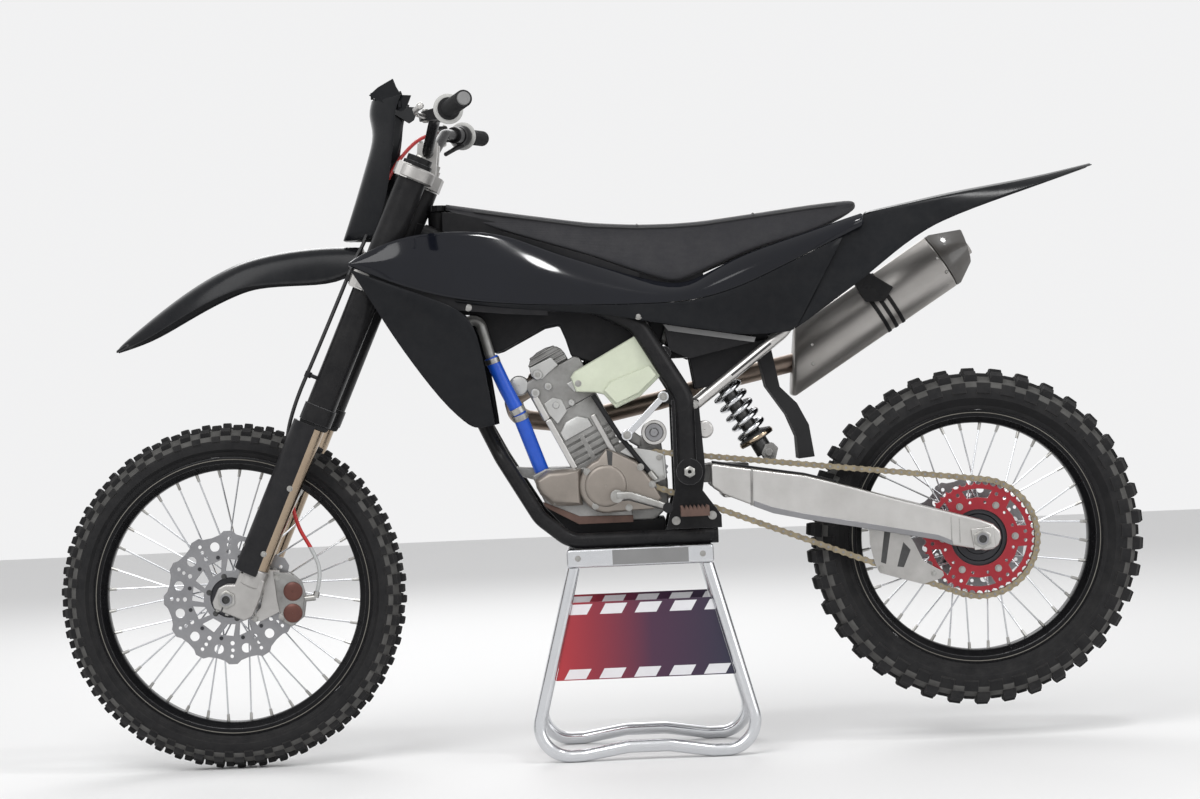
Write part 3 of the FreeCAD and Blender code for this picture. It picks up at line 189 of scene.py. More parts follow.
def height_between(tree, axes, low, high):
    """One inside a range of heights in metres, nought outside."""
    above = math_node(tree, "GREATER_THAN", axes["Z"], low)
    return math_node(tree, "MULTIPLY", above, math_node(tree, "LESS_THAN", axes["Z"], high))


print("node helpers ready")

# %% Cloudy patches
clouds, cin, cout = new_group("cloudy_patches", [("Scale", 8.0), ("Contrast", 1.0)],
                              [("Mask", "NodeSocketFloat")])
wide = node(clouds, "ShaderNodeTexNoise", {"Detail": 5.0, "Roughness": 0.6})
clouds.links.new(own_place(clouds), wide.inputs["Vector"])
clouds.links.new(cin.outputs["Scale"], wide.inputs["Scale"])
centred = math_node(clouds, "SUBTRACT", wide.outputs["Fac"], 0.5)
spread = math_node(clouds, "MULTIPLY", centred, cin.outputs["Contrast"])
clouds.links.new(math_node(clouds, "ADD", spread, 0.5, clamp=True), cout.inputs["Mask"])
print("cloudy patches:", len(clouds.nodes), "nodes")

# %% Fine grain
grain, gin, gout = new_group("fine_grain", [("Scale", 400.0), ("Stretch", 1.0)],
                             [("Height", "NodeSocketFloat")])
longer = node(grain, "ShaderNodeCombineXYZ", {"Y": 1.0, "Z": 1.0})
grain.links.new(gin.outputs["Stretch"], longer.inputs["X"])
scaled = node(grain, "ShaderNodeVectorMath", operation="MULTIPLY")
grain.links.new(own_place(grain), scaled.inputs[0])
grain.links.new(longer.outputs[0], scaled.inputs[1])
fine = node(grain, "ShaderNodeTexNoise", {"Detail": 3.0, "Roughness": 0.7})
grain.links.new(scaled.outputs[0], fine.inputs["Vector"])
grain.links.new(gin.outputs["Scale"], fine.inputs["Scale"])
grain.links.new(fine.outputs["Fac"], gout.inputs["Height"])
print("fine grain:", len(grain.nodes), "nodes")

# %% Worn edges
wear, win, wout = new_group("worn_edges", [("Radius", 0.0015), ("Amount", 1.0)],
                            [("Mask", "NodeSocketFloat")])
rounded = node(wear, "ShaderNodeBevel", samples=4)
wear.links.new(win.outputs["Radius"], rounded.inputs["Radius"])
flat = node(wear, "ShaderNodeNewGeometry")
along = node(wear, "ShaderNodeVectorMath", operation="DOT_PRODUCT")
wear.links.new(rounded.outputs[0], along.inputs[0])
wear.links.new(flat.outputs["Normal"], along.inputs[1])
away = math_node(wear, "SUBTRACT", 1.0, along.outputs["Value"])
breakup = node(wear, "ShaderNodeTexNoise", {"Scale": 90.0, "Detail": 4.0})
wear.links.new(own_place(wear), breakup.inputs["Vector"])
ragged = math_node(wear, "MULTIPLY", away, math_node(wear, "MULTIPLY", breakup.outputs["Fac"], 6.0))
wear.links.new(math_node(wear, "MULTIPLY", ragged, win.outputs["Amount"], clamp=True),
               wout.inputs["Mask"])
print("worn edges:", len(wear.nodes), "nodes")

# %% Settled dust
dust, din, dout = new_group("settled_dust", [("Amount", 0.3)], [("Mask", "NodeSocketFloat")])
facing = node(dust, "ShaderNodeNewGeometry")
axes = node(dust, "ShaderNodeSeparateXYZ")
dust.links.new(facing.outputs["Normal"], axes.inputs[0])
specks = node(dust, "ShaderNodeTexNoise", {"Scale": 35.0, "Detail": 6.0, "Roughness": 0.75})
dust.links.new(own_place(dust), specks.inputs["Vector"])
top_side = math_node(dust, "ADD", math_node(dust, "MULTIPLY", axes.outputs["Z"], 0.5), 0.6,
                     clamp=True)
patchy = math_node(dust, "MULTIPLY", top_side,
                   math_node(dust, "SUBTRACT", specks.outputs["Fac"], 0.35))
dust.links.new(math_node(dust, "MULTIPLY", patchy,
                         math_node(dust, "MULTIPLY", din.outputs["Amount"], 3.0), clamp=True),
               dout.inputs["Mask"])
print("surface effects:", [g.name for g in (clouds, grain, wear, dust)])

# %% [markdown]
# ## Finishes
# One helper builds every ordinary finish. A base colour drifts to a second one in cloudy
# patches, worn edges show a third, dust lightens what faces up, and a fine grain gives bump.
# What is the same all over a finish is typed straight on the shader's own sockets.


# %% Finish helper
DUST = (0.2, 0.19, 0.18)


def group_node(tree, group, **values):
    """What one of the shared groups puts out."""
    made = tree.nodes.new("ShaderNodeGroup")
    made.node_tree = group
    for key, value in values.items():
        made.inputs[key].default_value = value
    return made.outputs[0]


def mix_colour(tree, mask, a, b):
    """Colour that goes from a to b with the mask."""
    made = node(tree, "ShaderNodeMix", data_type="RGBA")
    tree.links.new(mask, made.inputs["Factor"])
    for index, value in ((6, a), (7, b)):
        if hasattr(value, "links"):
            tree.links.new(value, made.inputs[index])
        else:
            made.inputs[index].default_value = (*value, 1)
    return made.outputs[2]


def add_grain(tree, surface, strength, scale=500.0, stretch=1.0):
    """Fine bump all over a surface."""
    relief = node(tree, "ShaderNodeBump", {"Strength": strength, "Distance": 0.001})
    tree.links.new(group_node(tree, grain, Scale=scale, Stretch=stretch), relief.inputs["Height"])
    tree.links.new(relief.outputs[0], surface.inputs["Normal"])


def finish(name, colour, drift, rough=(0.4, 0.55), metallic=0.0, patches=8.0, worn=None,
           worn_amount=0.0, dusty=0.0, grain_scale=500.0, stretch=1.0, bump=0.05, shader=()):
    """Material from the shared groups; shader types further sockets of its surface."""
    material, tree, surface = new_material(name)
    surface.inputs["Metallic"].default_value = metallic
    for key, value in dict(shader).items():
        surface.inputs[key].default_value = value
    patchy = group_node(tree, clouds, Scale=patches, Contrast=1.6)
    shade = mix_colour(tree, patchy, colour, drift)
    if worn_amount:
        shade = mix_colour(tree, group_node(tree, wear, Amount=worn_amount), shade, worn)
    if dusty:
        shade = mix_colour(tree, group_node(tree, dust, Amount=dusty), shade, DUST)
    tree.links.new(shade, surface.inputs["Base Color"])
    roughness = node(tree, "ShaderNodeMapRange", {"To Min": rough[0], "To Max": rough[1]})
    tree.links.new(patchy, roughness.inputs["Value"])
    tree.links.new(roughness.outputs[0], surface.inputs["Roughness"])
    add_grain(tree, surface, bump, grain_scale, stretch)
    return material


print("finish helper ready, dust colour", DUST)

# %% Ordinary finishes
GREY_WEAR = (0.35, 0.35, 0.36)
DIM = {"Specular IOR Level": 0.15}
looks = {
    "tyre": finish("tyre_rubber", (0.011, 0.011, 0.012), (0.019, 0.019, 0.02), (0.7, 0.9),
                   patches=14, worn=(0.09, 0.085, 0.08), worn_amount=0.5, dusty=0.08,
                   grain_scale=700, bump=0.25, shader=DIM),
    "tread_dust": finish("tread_dust", (0.12, 0.118, 0.114), (0.055, 0.054, 0.052), (0.8, 0.95),
                         patches=22, grain_scale=700, bump=0.3, shader=DIM),
    "rubber": finish("grip_rubber", (0.014, 0.014, 0.015), (0.025, 0.025, 0.026), (0.6, 0.8),
                     grain_scale=900, bump=0.2, shader=DIM),
    "rim": finish("black_anodised", (0.006, 0.006, 0.007), (0.01, 0.01, 0.011), (0.22, 0.34),
                  metallic=0.3, worn=GREY_WEAR, worn_amount=0.4, bump=0.03, shader=DIM),
    "rim_edge": finish("rim_edge", (0.26, 0.25, 0.22), (0.13, 0.12, 0.105), (0.35, 0.5),
                       metallic=0.8),
    "hub": finish("dark_cast_hub", (0.03, 0.03, 0.034), (0.05, 0.05, 0.055), (0.3, 0.45),
                  metallic=0.7, worn=GREY_WEAR, worn_amount=0.5, bump=0.08),
    "spoke": finish("bright_spokes", (0.62, 0.63, 0.65), (0.5, 0.51, 0.53), (0.18, 0.3),
                    metallic=1.0),
    # this steel is also painted shade in the swingarm's lower recess
    "steel": finish("machined_steel_and_shade", (0.34, 0.34, 0.35), (0.22, 0.22, 0.23), (0.26, 0.42),
                    metallic=1.0, grain_scale=300, stretch=0.1, bump=0.12),
    "bolt": finish("plated_bolts", (0.46, 0.46, 0.45), (0.28, 0.27, 0.25), (0.25, 0.45),
                   metallic=1.0, patches=60),
    # this dark finish is also painted shade in slits, slots, windows, bores and hollows
    "dark_bolt_and_shade": finish("blackened_bolts_and_painted_shade", (0.05, 0.05, 0.05), (0.1, 0.1, 0.1), (0.35, 0.5),
                        metallic=0.8, patches=60),
    "red": finish("red_anodised", (0.38, 0.035, 0.045), (0.27, 0.02, 0.03), (0.28, 0.42),
                  metallic=0.6, patches=18, worn=(0.6, 0.5, 0.5), worn_amount=0.4, bump=0.04),
    "chain": finish("gold_chain", (0.4, 0.34, 0.23), (0.2, 0.17, 0.13), (0.3, 0.5), metallic=1.0,
                    patches=70),
    "alloy": finish("bare_aluminium", (0.66, 0.65, 0.635), (0.42, 0.41, 0.395), (0.24, 0.42),
                    metallic=0.92, patches=9, grain_scale=240, stretch=0.06, bump=0.1),
    "cast": finish("cast_aluminium", (0.36, 0.36, 0.35), (0.16, 0.155, 0.15), (0.36, 0.58),
                   metallic=0.75, patches=26, worn=(0.72, 0.72, 0.7), worn_amount=0.9, dusty=0.3,
                   grain_scale=900, bump=0.3),
    "forged": finish("forged_aluminium", (0.5, 0.49, 0.475), (0.32, 0.31, 0.3), (0.3, 0.46),
                     metallic=0.85, patches=16, worn=(0.75, 0.74, 0.72), worn_amount=0.8,
                     bump=0.12),
    "bronze": finish("magnesium_paint", (0.31, 0.275, 0.243), (0.21, 0.187, 0.165), (0.34, 0.5),
                     metallic=0.6, patches=14, worn=(0.6, 0.57, 0.53), worn_amount=0.9,
                     grain_scale=800, bump=0.14),
    "frame": finish("frame_paint", (0.007, 0.007, 0.008), (0.012, 0.012, 0.013), (0.2, 0.36),
                    worn=GREY_WEAR, worn_amount=0.35, dusty=0.07, bump=0.05, shader=DIM),
    # this black is also painted shade behind the seams and under the tank
    "plastic": finish("moulded_black_and_shade", (0.009, 0.009, 0.01), (0.014, 0.014, 0.016), (0.36, 0.5),
                      patches=6, worn=(0.1, 0.1, 0.1), worn_amount=0.3, dusty=0.06,
                      grain_scale=1200, bump=0.08, shader=DIM),
    "satin": finish("polished_black", (0.006, 0.0065, 0.008), (0.009, 0.01, 0.012), (0.16, 0.28),
                    patches=5, worn=(0.08, 0.08, 0.08), worn_amount=0.2, dusty=0.04, bump=0.03,
                    shader=DIM),
    "gloss": finish("gloss_black", (0.003, 0.0035, 0.006), (0.006, 0.007, 0.011), (0.06, 0.12),
                    patches=5, bump=0.01,
                    shader={**DIM, "Coat Weight": 0.3, "Coat Roughness": 0.05}),
    "titanium": finish("titanium_skin", (0.4, 0.385, 0.37), (0.3, 0.285, 0.27), (0.3, 0.44),
                       metallic=0.85, patches=6, grain_scale=220, stretch=0.08, bump=0.1),
    "pipe": finish("heated_pipe", (0.3, 0.25, 0.2), (0.2, 0.15, 0.13), (0.28, 0.45), metallic=1.0,
                   patches=10),
    "carbon": finish("dark_end_cap", (0.1, 0.093, 0.086), (0.06, 0.056, 0.052), (0.3, 0.42),
                     patches=20, shader={"Coat Weight": 0.4}),
    "blue": finish("blue_silicone", (0.006, 0.09, 0.56), (0.008, 0.06, 0.4), (0.28, 0.42),
                   patches=20, bump=0.06),
    "milky": finish("milky_tank", (0.62, 0.66, 0.53), (0.5, 0.54, 0.42), (0.3, 0.45), patches=12,
                    dusty=0.15, shader={"Subsurface Weight": 0.15,
                                        "Subsurface Radius": (0.01, 0.01, 0.01)}),
    "gold": finish("coated_stanchion", (0.42, 0.34, 0.25), (0.34, 0.26, 0.19), (0.12, 0.22),
                   metallic=1.0),
    "polished": finish("polished_tube", (0.68, 0.69, 0.71), (0.6, 0.61, 0.63), (0.12, 0.26),
                       metallic=1.0, patches=12),
    "piping": finish("seat_piping", (0.008, 0.008, 0.009), (0.014, 0.014, 0.015), (0.5, 0.7),
                     grain_scale=1500, bump=0.2),
    "grey_plastic": finish("grey_plastic", (0.17, 0.17, 0.17), (0.22, 0.22, 0.22), (0.4, 0.55),
                           patches=12, grain_scale=900, bump=0.1),
}
print("finishes:", len(looks))

# %% [markdown]
# ## Shapes in millimetres
# Sizes are given in millimetres, as in the CAD. A lump is a list of points and a list of faces,
# and a piece is one or more lumps with a finish. Round lumps are turned or swept, flat ones are
# extruded side views, and moulded ones are lofts through rings of points.

# %% Lumps
MM = 0.001
LEFT = Vector((0, 1, 0))


def xz(point):
    """Place in the side view."""
    return point.x, point.z


def lofted(rings, closed=False):
    """Skin through rings of points with equal counts; closed joins the last ring to the first."""
    count = len(rings[0])
    points = [p for ring in rings for p in ring]
    faces = []
    total = len(rings)
    for i in range(total if closed else total - 1):
        following = (i + 1) % total
        for j in range(count):
            k = (j + 1) % count
            faces.append((i * count + j, i * count + k, following * count + k,
                          following * count + j))
    if not closed:
        faces.append(tuple(reversed(range(count))))
        faces.append(tuple(range((total - 1) * count, total * count)))
    return points, faces


def extruded(outline, y0, y1):
    """Side view outline of (x, z), from y0 to y1."""
    return lofted([[(x, y0, z) for x, z in outline], [(x, y1, z) for x, z in outline]])


def block(x0, x1, y0, y1, z0, z1):
    """Box between two places on each axis."""
    return lofted([[(x0, y0, z), (x1, y0, z), (x1, y1, z), (x0, y1, z)] for z in (z0, z1)])


def turned(profile, centre, steps=96):
    """Profile of (radius, y) about the Y axis through centre (x, z)."""
    rings = []
    for i in range(steps):
        a = 2 * math.pi * i / steps
        rings.append([(centre[0] + r * math.sin(a), y, centre[1] + r * math.cos(a))
                      for r, y in profile])
    return lofted(rings, closed=True)


def pierced(outline, holes, y0, y1):
    """Flat plate from y0 to y1 whose side view is an outline with holes in it."""
    work = bmesh.new()
    edges = []
    for ring in (outline, *holes):
        corners = [work.verts.new((x, 0, z)) for x, z in ring]
        edges += [work.edges.new(pair) for pair in zip(corners, corners[1:] + corners[:1])]
    bmesh.ops.triangle_fill(work, use_beauty=True, edges=edges, normal=(0, 1, 0))
    work.verts.index_update()
    total = len(work.verts)
    points = [(v.co.x, y, v.co.z) for y in (y0, y1) for v in work.verts]
    near = [tuple(v.index for v in f.verts) for f in work.faces]
    work.free()
    faces = near + [tuple(i + total for i in reversed(f)) for f in near]
    start = 0
    for ring in (outline, *holes):
        for n in range(len(ring)):
            a, b = start + n, start + (n + 1) % len(ring)
            faces.append((a, b, b + total, a + total))
        start += len(ring)
    return points, faces


def spot(centre, radius, degrees):
    """Point (x, z) at a radius and an angle round a centre."""
    a = math.radians(degrees)
    return centre.x + radius * math.cos(a), centre.z + radius * math.sin(a)


def circle(at, radius, count=24):
    """Ring of points round a side-view place."""
    return [(at[0] + radius * math.cos(a), at[1] + radius * math.sin(a))
            for a in [2 * math.pi * n / count for n in range(count)]]


def swept(path, radius, sides=16, flat=1.0):
    """Round or flattened section along a path; radius is a number or one for each point."""
    path = [Vector(p) for p in path]
    radii = radius if isinstance(radius, list) else [radius] * len(path)
    rings = []
    side = None
    for i, point in enumerate(path):
        before, after = path[max(i - 1, 0)], path[min(i + 1, len(path) - 1)]
        forward = (after - before).normalized()
        if side is None:
            side = forward.orthogonal().normalized()
        side = (side - forward * side.dot(forward)).normalized()
        other = forward.cross(side)
        rings.append([point + (side * math.cos(a) + other * math.sin(a) * flat) * radii[i]
                      for a in [2 * math.pi * n / sides for n in range(sides)]])
    return lofted(rings)


def strung(pairs, sides):
    """Round form through (place, radius) pairs."""
    return swept([p for p, r in pairs], [r for p, r in pairs], sides)


def bent(points, bend, steps=7):
    """Straight runs with tangent arcs of one radius at the corners."""
    points = [Vector(p) for p in points]
    path = [points[0]]
    for before, corner, after in zip(points, points[1:], points[2:]):
        a, b = (before - corner).normalized(), (after - corner).normalized()
        turn = math.pi - a.angle(b)
        reach = bend * math.tan(turn / 2)
        centre = corner + (a + b).normalized() * (bend / math.cos(turn / 2))
        start, end = corner + a * reach - centre, corner + b * reach - centre
        axis, angle = start.cross(end).normalized(), start.angle(end)
        for n in range(steps + 1):
            path.append(centre + Matrix.Rotation(angle * n / steps, 3, axis) @ start)
    return path + [points[-1]]


def bar(start, end, radius, sides=20, tip=None):
    """Round bar, or a cone where tip is given."""
    return swept([start, end], [radius, radius if tip is None else tip], sides)


def bolt(at, out, radius=5.0, height=4.0, washer=True):
    """Hexagon bolt head whose base is at a point, standing along out."""
    at, out = Vector(at), Vector(out).normalized()
    lumps = [swept([at, at + out * (height + 1.0)], [radius, radius * 0.93], 6)]
    if washer:
        lumps.append(swept([at, at + out * 1.2], [radius * 1.35, radius * 1.3], 16))
    lumps.append(swept([at, at + out * (height + 1.6)], [radius * 0.45, radius * 0.4], 8))
    return lumps


def side_bolts(y, places, *sizes):
    """Bolts that face left at side-view places."""
    return [lump for x, z in places for lump in bolt((x, y, z), LEFT, *sizes)]


def mirrored(lumps):
    """The same lumps on the other side."""
    return [([(p[0], -p[1], p[2]) for p in points], [tuple(reversed(f)) for f in faces])
            for points, faces in lumps]


def sides(lumps):
    """Lumps of the left side and their mirror images."""
    return [*lumps, *mirrored(lumps)]


def fork_point(s, forward=0.0, y=0.0):
    """A point at height s along the fork, forward of its legs, y to the left."""
    return FORK_FOOT + FORK_UP * s + FORK_AHEAD * forward + Vector((0, y, 0))


print("lump helpers ready, one unit is", MM, "m")

# %% Pieces
pieces = []


def piece(name, lumps, look, body, replaces=(), edge=0.0, smooth=40, level=0):
    """One object from lumps; edge is a bevel, smooth an angle and level a subdivision."""
    points, faces = [], []
    for lump_points, lump_faces in lumps:
        base = len(points)
        points += [Vector(p) * MM for p in lump_points]
        faces += [tuple(base + i for i in f) for f in lump_faces]
    mesh = bpy.data.meshes.new(name)
    mesh.from_pydata(points, [], faces)
    work = bmesh.new()
    work.from_mesh(mesh)
    bmesh.ops.recalc_face_normals(work, faces=work.faces)
    work.to_mesh(mesh)
    work.free()
    mesh.materials.append(looks[look])
    mesh.shade_smooth()
    mesh.set_sharp_from_angle(angle=math.radians(smooth))
    made = bpy.data.objects.new(name, mesh)
    scene.collection.objects.link(made)
    if level:
        rounding = made.modifiers.new("rounding", "SUBSURF")
        rounding.levels = rounding.render_levels = level
    if edge:
        soft = made.modifiers.new("soft_edges", "BEVEL")
        soft.width = edge * MM
        soft.segments = 2
        soft.angle_limit = math.radians(35)
        soft.harden_normals = True
    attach(made, body)
    if replaces:
        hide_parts(*replaces)
    pieces.append(made)
    return made


def crease_edges(mesh, sharp, value):
    """Creases the edges that the test sharp picks, so that subdivision keeps them."""
    work = bmesh.new()
    work.from_mesh(mesh)
    layer = work.edges.layers.float.new("crease_edge")
    for edge in work.edges:
        if sharp(edge):
            edge[layer] = value
    work.to_mesh(mesh)
    work.free()


def coat(name, look):
    """Finish on a CAD node that stays."""
    mesh = bpy.data.objects[name].data
    mesh.materials.clear()
    mesh.materials.append(looks[look])


print("pieces so far:", len(pieces))

# %% [markdown]
# ## Sizes that everything hangs on
# The two axles and the countershaft come from the imported frame. The fork's direction
# comes from the steering joint's axis, so a change in the CAD moves them with it.

# %% Sizes from the frame
def middle(name):
    """Middle of a CAD node's box, in millimetres."""
    low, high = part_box(name)
    return (Vector(low) + Vector(high)) * 500


FRONT_AXLE = middle("front_axle")
REAR_AXLE = middle("rear_axle")
COUNTERSHAFT = middle("front_sprocket")
STEER = next(j for j in frame["joints"] if j["name"] == "steering")
FORK_UP = Vector(STEER["axis"]).normalized()
FORK_AHEAD = Vector((FORK_UP.z, 0, -FORK_UP.x))
AXLE_LEAD = 30.5
FORK_FOOT = FRONT_AXLE - FORK_AHEAD * AXLE_LEAD
LEG_Y = 103.0
print("axles", [round(c) for c in FRONT_AXLE], [round(c) for c in REAR_AXLE], "fork", FORK_FOOT)

# %% [markdown]
# ## Wheels
# Each tyre is a turned carcass with rows of tapered knobs: the crown's knobs, then a row of tall
# shoulder knobs, then side knobs half a pitch further on. Pale dust lies on the floor of the tread.

# %% Tyres
WHEELS = {
    "front": {"centre": FRONT_AXLE, "body": "front_wheel", "seat": 266.7, "rim_y": 27.0,
              "tip": 346.0, "lug": 13.0, "wide": 41.0, "crown_y": 22.0, "pitches": 50,
              "hub": (46.0, 32.0, 19.0, 31.0), "spoke": (27.0, 32.0, 6.0)},
    "rear": {"centre": REAR_AXLE, "body": "rear_wheel", "seat": 241.3, "rim_y": 33.0, "tip": 337.0,
             "lug": 17.0, "wide": 53.0, "crown_y": 30.0, "pitches": 38,
             "hub": (52.0, 36.0, 26.0, 40.0), "spoke": (36.0, 36.0, 8.0)},
}
# phase, the section's two ends as y and depth below the tip, the rise across and out, length
KNOBS = {
    "front": ((0, (-12, 14), (12, 14), (0, 14), 16), (0.5, (5, 14), (20, 15), (1, 11), 16),
              (0, (21, 16), (35, 24), (5, 8), 21), (0.5, (36, 25), (40, 38), (3.5, 1.2), 18)),
    "rear": ((0, (3, 18), (16, 18), (0, 18), 26), (0.5, (8, 18), (25, 19), (0, 8), 22),
             (0, (24, 18), (46, 27), (6, 13), 27), (0.5, (46, 29), (52, 52), (4.2, 1.2), 30)),
}


def knob(wheel, angle, low, high, rise, length):
    """Tapered block on the carcass between two section points, as y and radius."""
    low, high, rise = Vector(low), Vector(high), Vector(rise)
    spin = Matrix.Rotation(angle, 4, "Y")
    rings = []
    for step, share in ((-3.0, 1.0), (0.82, 0.9), (1.0, 0.8)):
        lift = rise * step if step > 0 else rise.normalized() * step
        centre = (low + high) / 2
        a, b = centre + (low - centre) * share + lift, centre + (high - centre) * share + lift
        half = length / 2 * share
        rings.append([(-half, a.x, a.y), (half, a.x, a.y), (half, b.x, b.y), (-half, b.x, b.y)])
    points, faces = lofted(rings)
    return [wheel["centre"] + spin @ Vector(p) for p in points], faces


def carcass(wheel):
    """Half of the tyre's section, as radius and y, from the rim to the middle."""
    seat, tip, wide, crown = wheel["seat"], wheel["tip"], wheel["wide"], wheel["crown_y"]
    base = tip - wheel["lug"]
    return [(seat + 12.8, wheel["rim_y"] - 2), (seat + 17, wheel["rim_y"] + 1.5),
            (seat + 21, wheel["rim_y"] + 2.5), ((seat + tip) / 2 - 12, wide - 2),
            ((seat + tip) / 2 + 2, wide), (base - 20, wide - 2), (base - 10, wide - 8),
            (base - 3, crown + 3), (base, crown - 7), (base + 0.6, 4)]


def tyre_lumps(end, wheel):
    """The carcass and all its knobs."""
    half = carcass(wheel)
    lumps = [turned(half + [(r, -y) for r, y in reversed(half)], xz(wheel["centre"]), 108)]
    step = 2 * math.pi / wheel["pitches"]
    for i in range(wheel["pitches"]):
        for phase, (ya, da), (yb, db), (across, out), length in KNOBS[end]:
            for sign in (1, -1) if ya > 0 else (1,):
                lumps.append(knob(wheel, step * (i + phase), (sign * ya, wheel["tip"] - da),
                                  (sign * yb, wheel["tip"] - db), (sign * across, out), length))
    return lumps


for end, wheel in WHEELS.items():
    piece(f"{end}_tyre_rubber", tyre_lumps(end, wheel), "tyre", wheel["body"],
          (f"{end}_tyre",), smooth=32)
    half = [(r + 0.5, y + 0.3) for r, y in carcass(wheel)[5:]]
    over = half + [(r, -y) for r, y in reversed(half)]
    under = [(r - 2, y) for r, y in reversed(over)]
    piece(f"{end}_tread_floor", [turned(over + under, xz(wheel["centre"]), 108)], "tread_dust",
          wheel["body"])
print("knob rows:", {end: len(rows) for end, rows in KNOBS.items()})

# %% Rims, hubs and spokes
SPOKES = 36
for end, wheel in WHEELS.items():
    centre = xz(wheel["centre"])
    seat, width = wheel["seat"], wheel["rim_y"]
    half = [(seat - 14, 0), (seat - 14, width * 0.36), (seat - 11.5, width * 0.56),
            (seat - 2.5, width * 0.8),
            (seat - 1, width - 0.8), (seat + 1, width), (seat + 11, width),
            (seat + 12.5, width - 1),
            (seat + 12.5, width - 3), (seat + 11.5, width - 3.5), (seat, width - 5)]
    ring = half + [(r, -y) for r, y in reversed(half[1:])]
    piece(f"{end}_rim_profile", [turned(ring, centre, 128)], "rim", wheel["body"],
          (f"{end}_rim",), smooth=50)
    line = [(seat + 6.2, width - 0.4), (seat + 6.2, width + 0.35), (seat + 7.6, width + 0.35),
            (seat + 7.6, width - 0.4)]
    stripes = [turned([(r, sign * y) for r, y in line], centre, 128) for sign in (1, -1)]
    piece(f"{end}_rim_line", stripes, "rim_edge", wheel["body"])
    length, flange_y, barrel, flange = wheel["hub"]
    half = [(12.1, length), (barrel - 3, length), (barrel - 2, length - 1),
            (barrel - 2, flange_y + 5),
            (flange - 2, flange_y + 3), (flange, flange_y + 1.5), (flange, flange_y - 1.5),
            (flange - 2, flange_y - 3), (barrel + 1, flange_y - 9), (barrel - 1, flange_y - 20),
            (barrel - 2, 0)]
    ring = half + [(r, -y) for r, y in reversed(half[:-1])]
    piece(f"{end}_hub_shell", [turned(ring, centre, 64)], "hub", wheel["body"],
          (f"{end}_hub",), smooth=35)
    hub_r, hub_y, rim_y = wheel["spoke"]
    wires, nipples = [], []
    for i in range(SPOKES):
        a = math.radians(360 / SPOKES * (i + 0.5))
        side = 1 if i % 2 else -1
        lay = a + math.radians(50) * (1 if (i // 2) % 2 else -1)
        foot = wheel["centre"] + Vector((hub_r * math.sin(lay), side * hub_y,
                                         hub_r * math.cos(lay)))
        top = wheel["centre"] + Vector(((seat - 13.5) * math.sin(a), side * rim_y,
                                        (seat - 13.5) * math.cos(a)))
        reach = (top - foot).normalized()
        wires.append(swept([foot - reach * 3, top], 1.75, 8))
        nipples.append(swept([top - reach * 15, top + reach * 1.5], [2.9, 3.4], 8))
        wires.append(swept([foot - Vector((0, side * 4.6, 0)), foot + Vector((0, side * 4.6, 0))],
                           2.8, 8))
    piece(f"{end}_spokes", wires, "spoke", wheel["body"])
    piece(f"{end}_spoke_nipples", nipples, "bolt", wheel["body"])
print("spokes:", 2 * SPOKES)

# %% Brake discs
# y of the disc, its radius, then the windows' radii, and radius and size of the large holes
DISCS = {"front": (62.0, 133, 54, 77, 105, 9.5), "rear": (-64.0, 120, 56, 72, 94, 7.5)}
WAVE = ((-0.5, 0.93), (-0.25, 0.95), (-0.12, 1), (0.12, 1), (0.25, 0.95))
for end, (disc_y, outer, r0, r1, large_r, large) in DISCS.items():
    wheel = WHEELS[end]
    at = wheel["centre"]
    rim = [spot(at, outer * share, 30 * (i + turn)) for i in range(12) for turn, share in WAVE]
    holes = [circle(xz(at), 40, 48)]
    for i in range(12):
        holes.append([spot(at, r, 30 * i + a) for r, a in ((r0, -8), (r1, -2), (r1, 19), (r0, 12))])
        holes.append(circle(spot(at, large_r, 30 * i + 15), large))
        holes.append(circle(spot(at, large_r + 12, 30 * i + 1), 3.6, 16))
        holes.append(circle(spot(at, large_r - 14, 30 * i), 4.4, 16))
        holes.append(circle(spot(at, large_r, 30 * i), 3.6, 16))
    side = math.copysign(1, disc_y)
    hub_y = wheel["hub"][0] + 0.5
    bell = turned([(20, side * hub_y), (43, side * hub_y), (44, side * (hub_y + 1)),
                   (44, disc_y - side * 2), (20, disc_y - side * 2)], xz(at), 64)
    piece(f"{end}_disc_wave", [pierced(rim, holes, disc_y - 2, disc_y + 2)], "steel", wheel["body"],
          (f"{end}_disc",), edge=0.4)
    piece(f"{end}_disc_bell", [bell], "hub", wheel["body"], edge=0.8)
    out = Vector((0, side, 0))
    heads, buttons = [], []
    for i in range(6):
        x, z = spot(at, 43.5, 60 * i + 15)
        heads += bolt((x, disc_y + side * 2, z), out, 4.2, 3.0)
    for i in range(12):
        x, z = spot(at, (r1 + large_r - 14) / 2 - 1, 30 * i + 15)
        buttons.append(swept([(x, disc_y - 2.8, z), (x, disc_y + 2.8, z)], 4.2, 16))
    piece(f"{end}_disc_bolts", heads, "dark_bolt_and_shade", wheel["body"])
    piece(f"{end}_disc_buttons", buttons, "hub", wheel["body"])
print("holes in a disc:", 1 + 12 * 5)

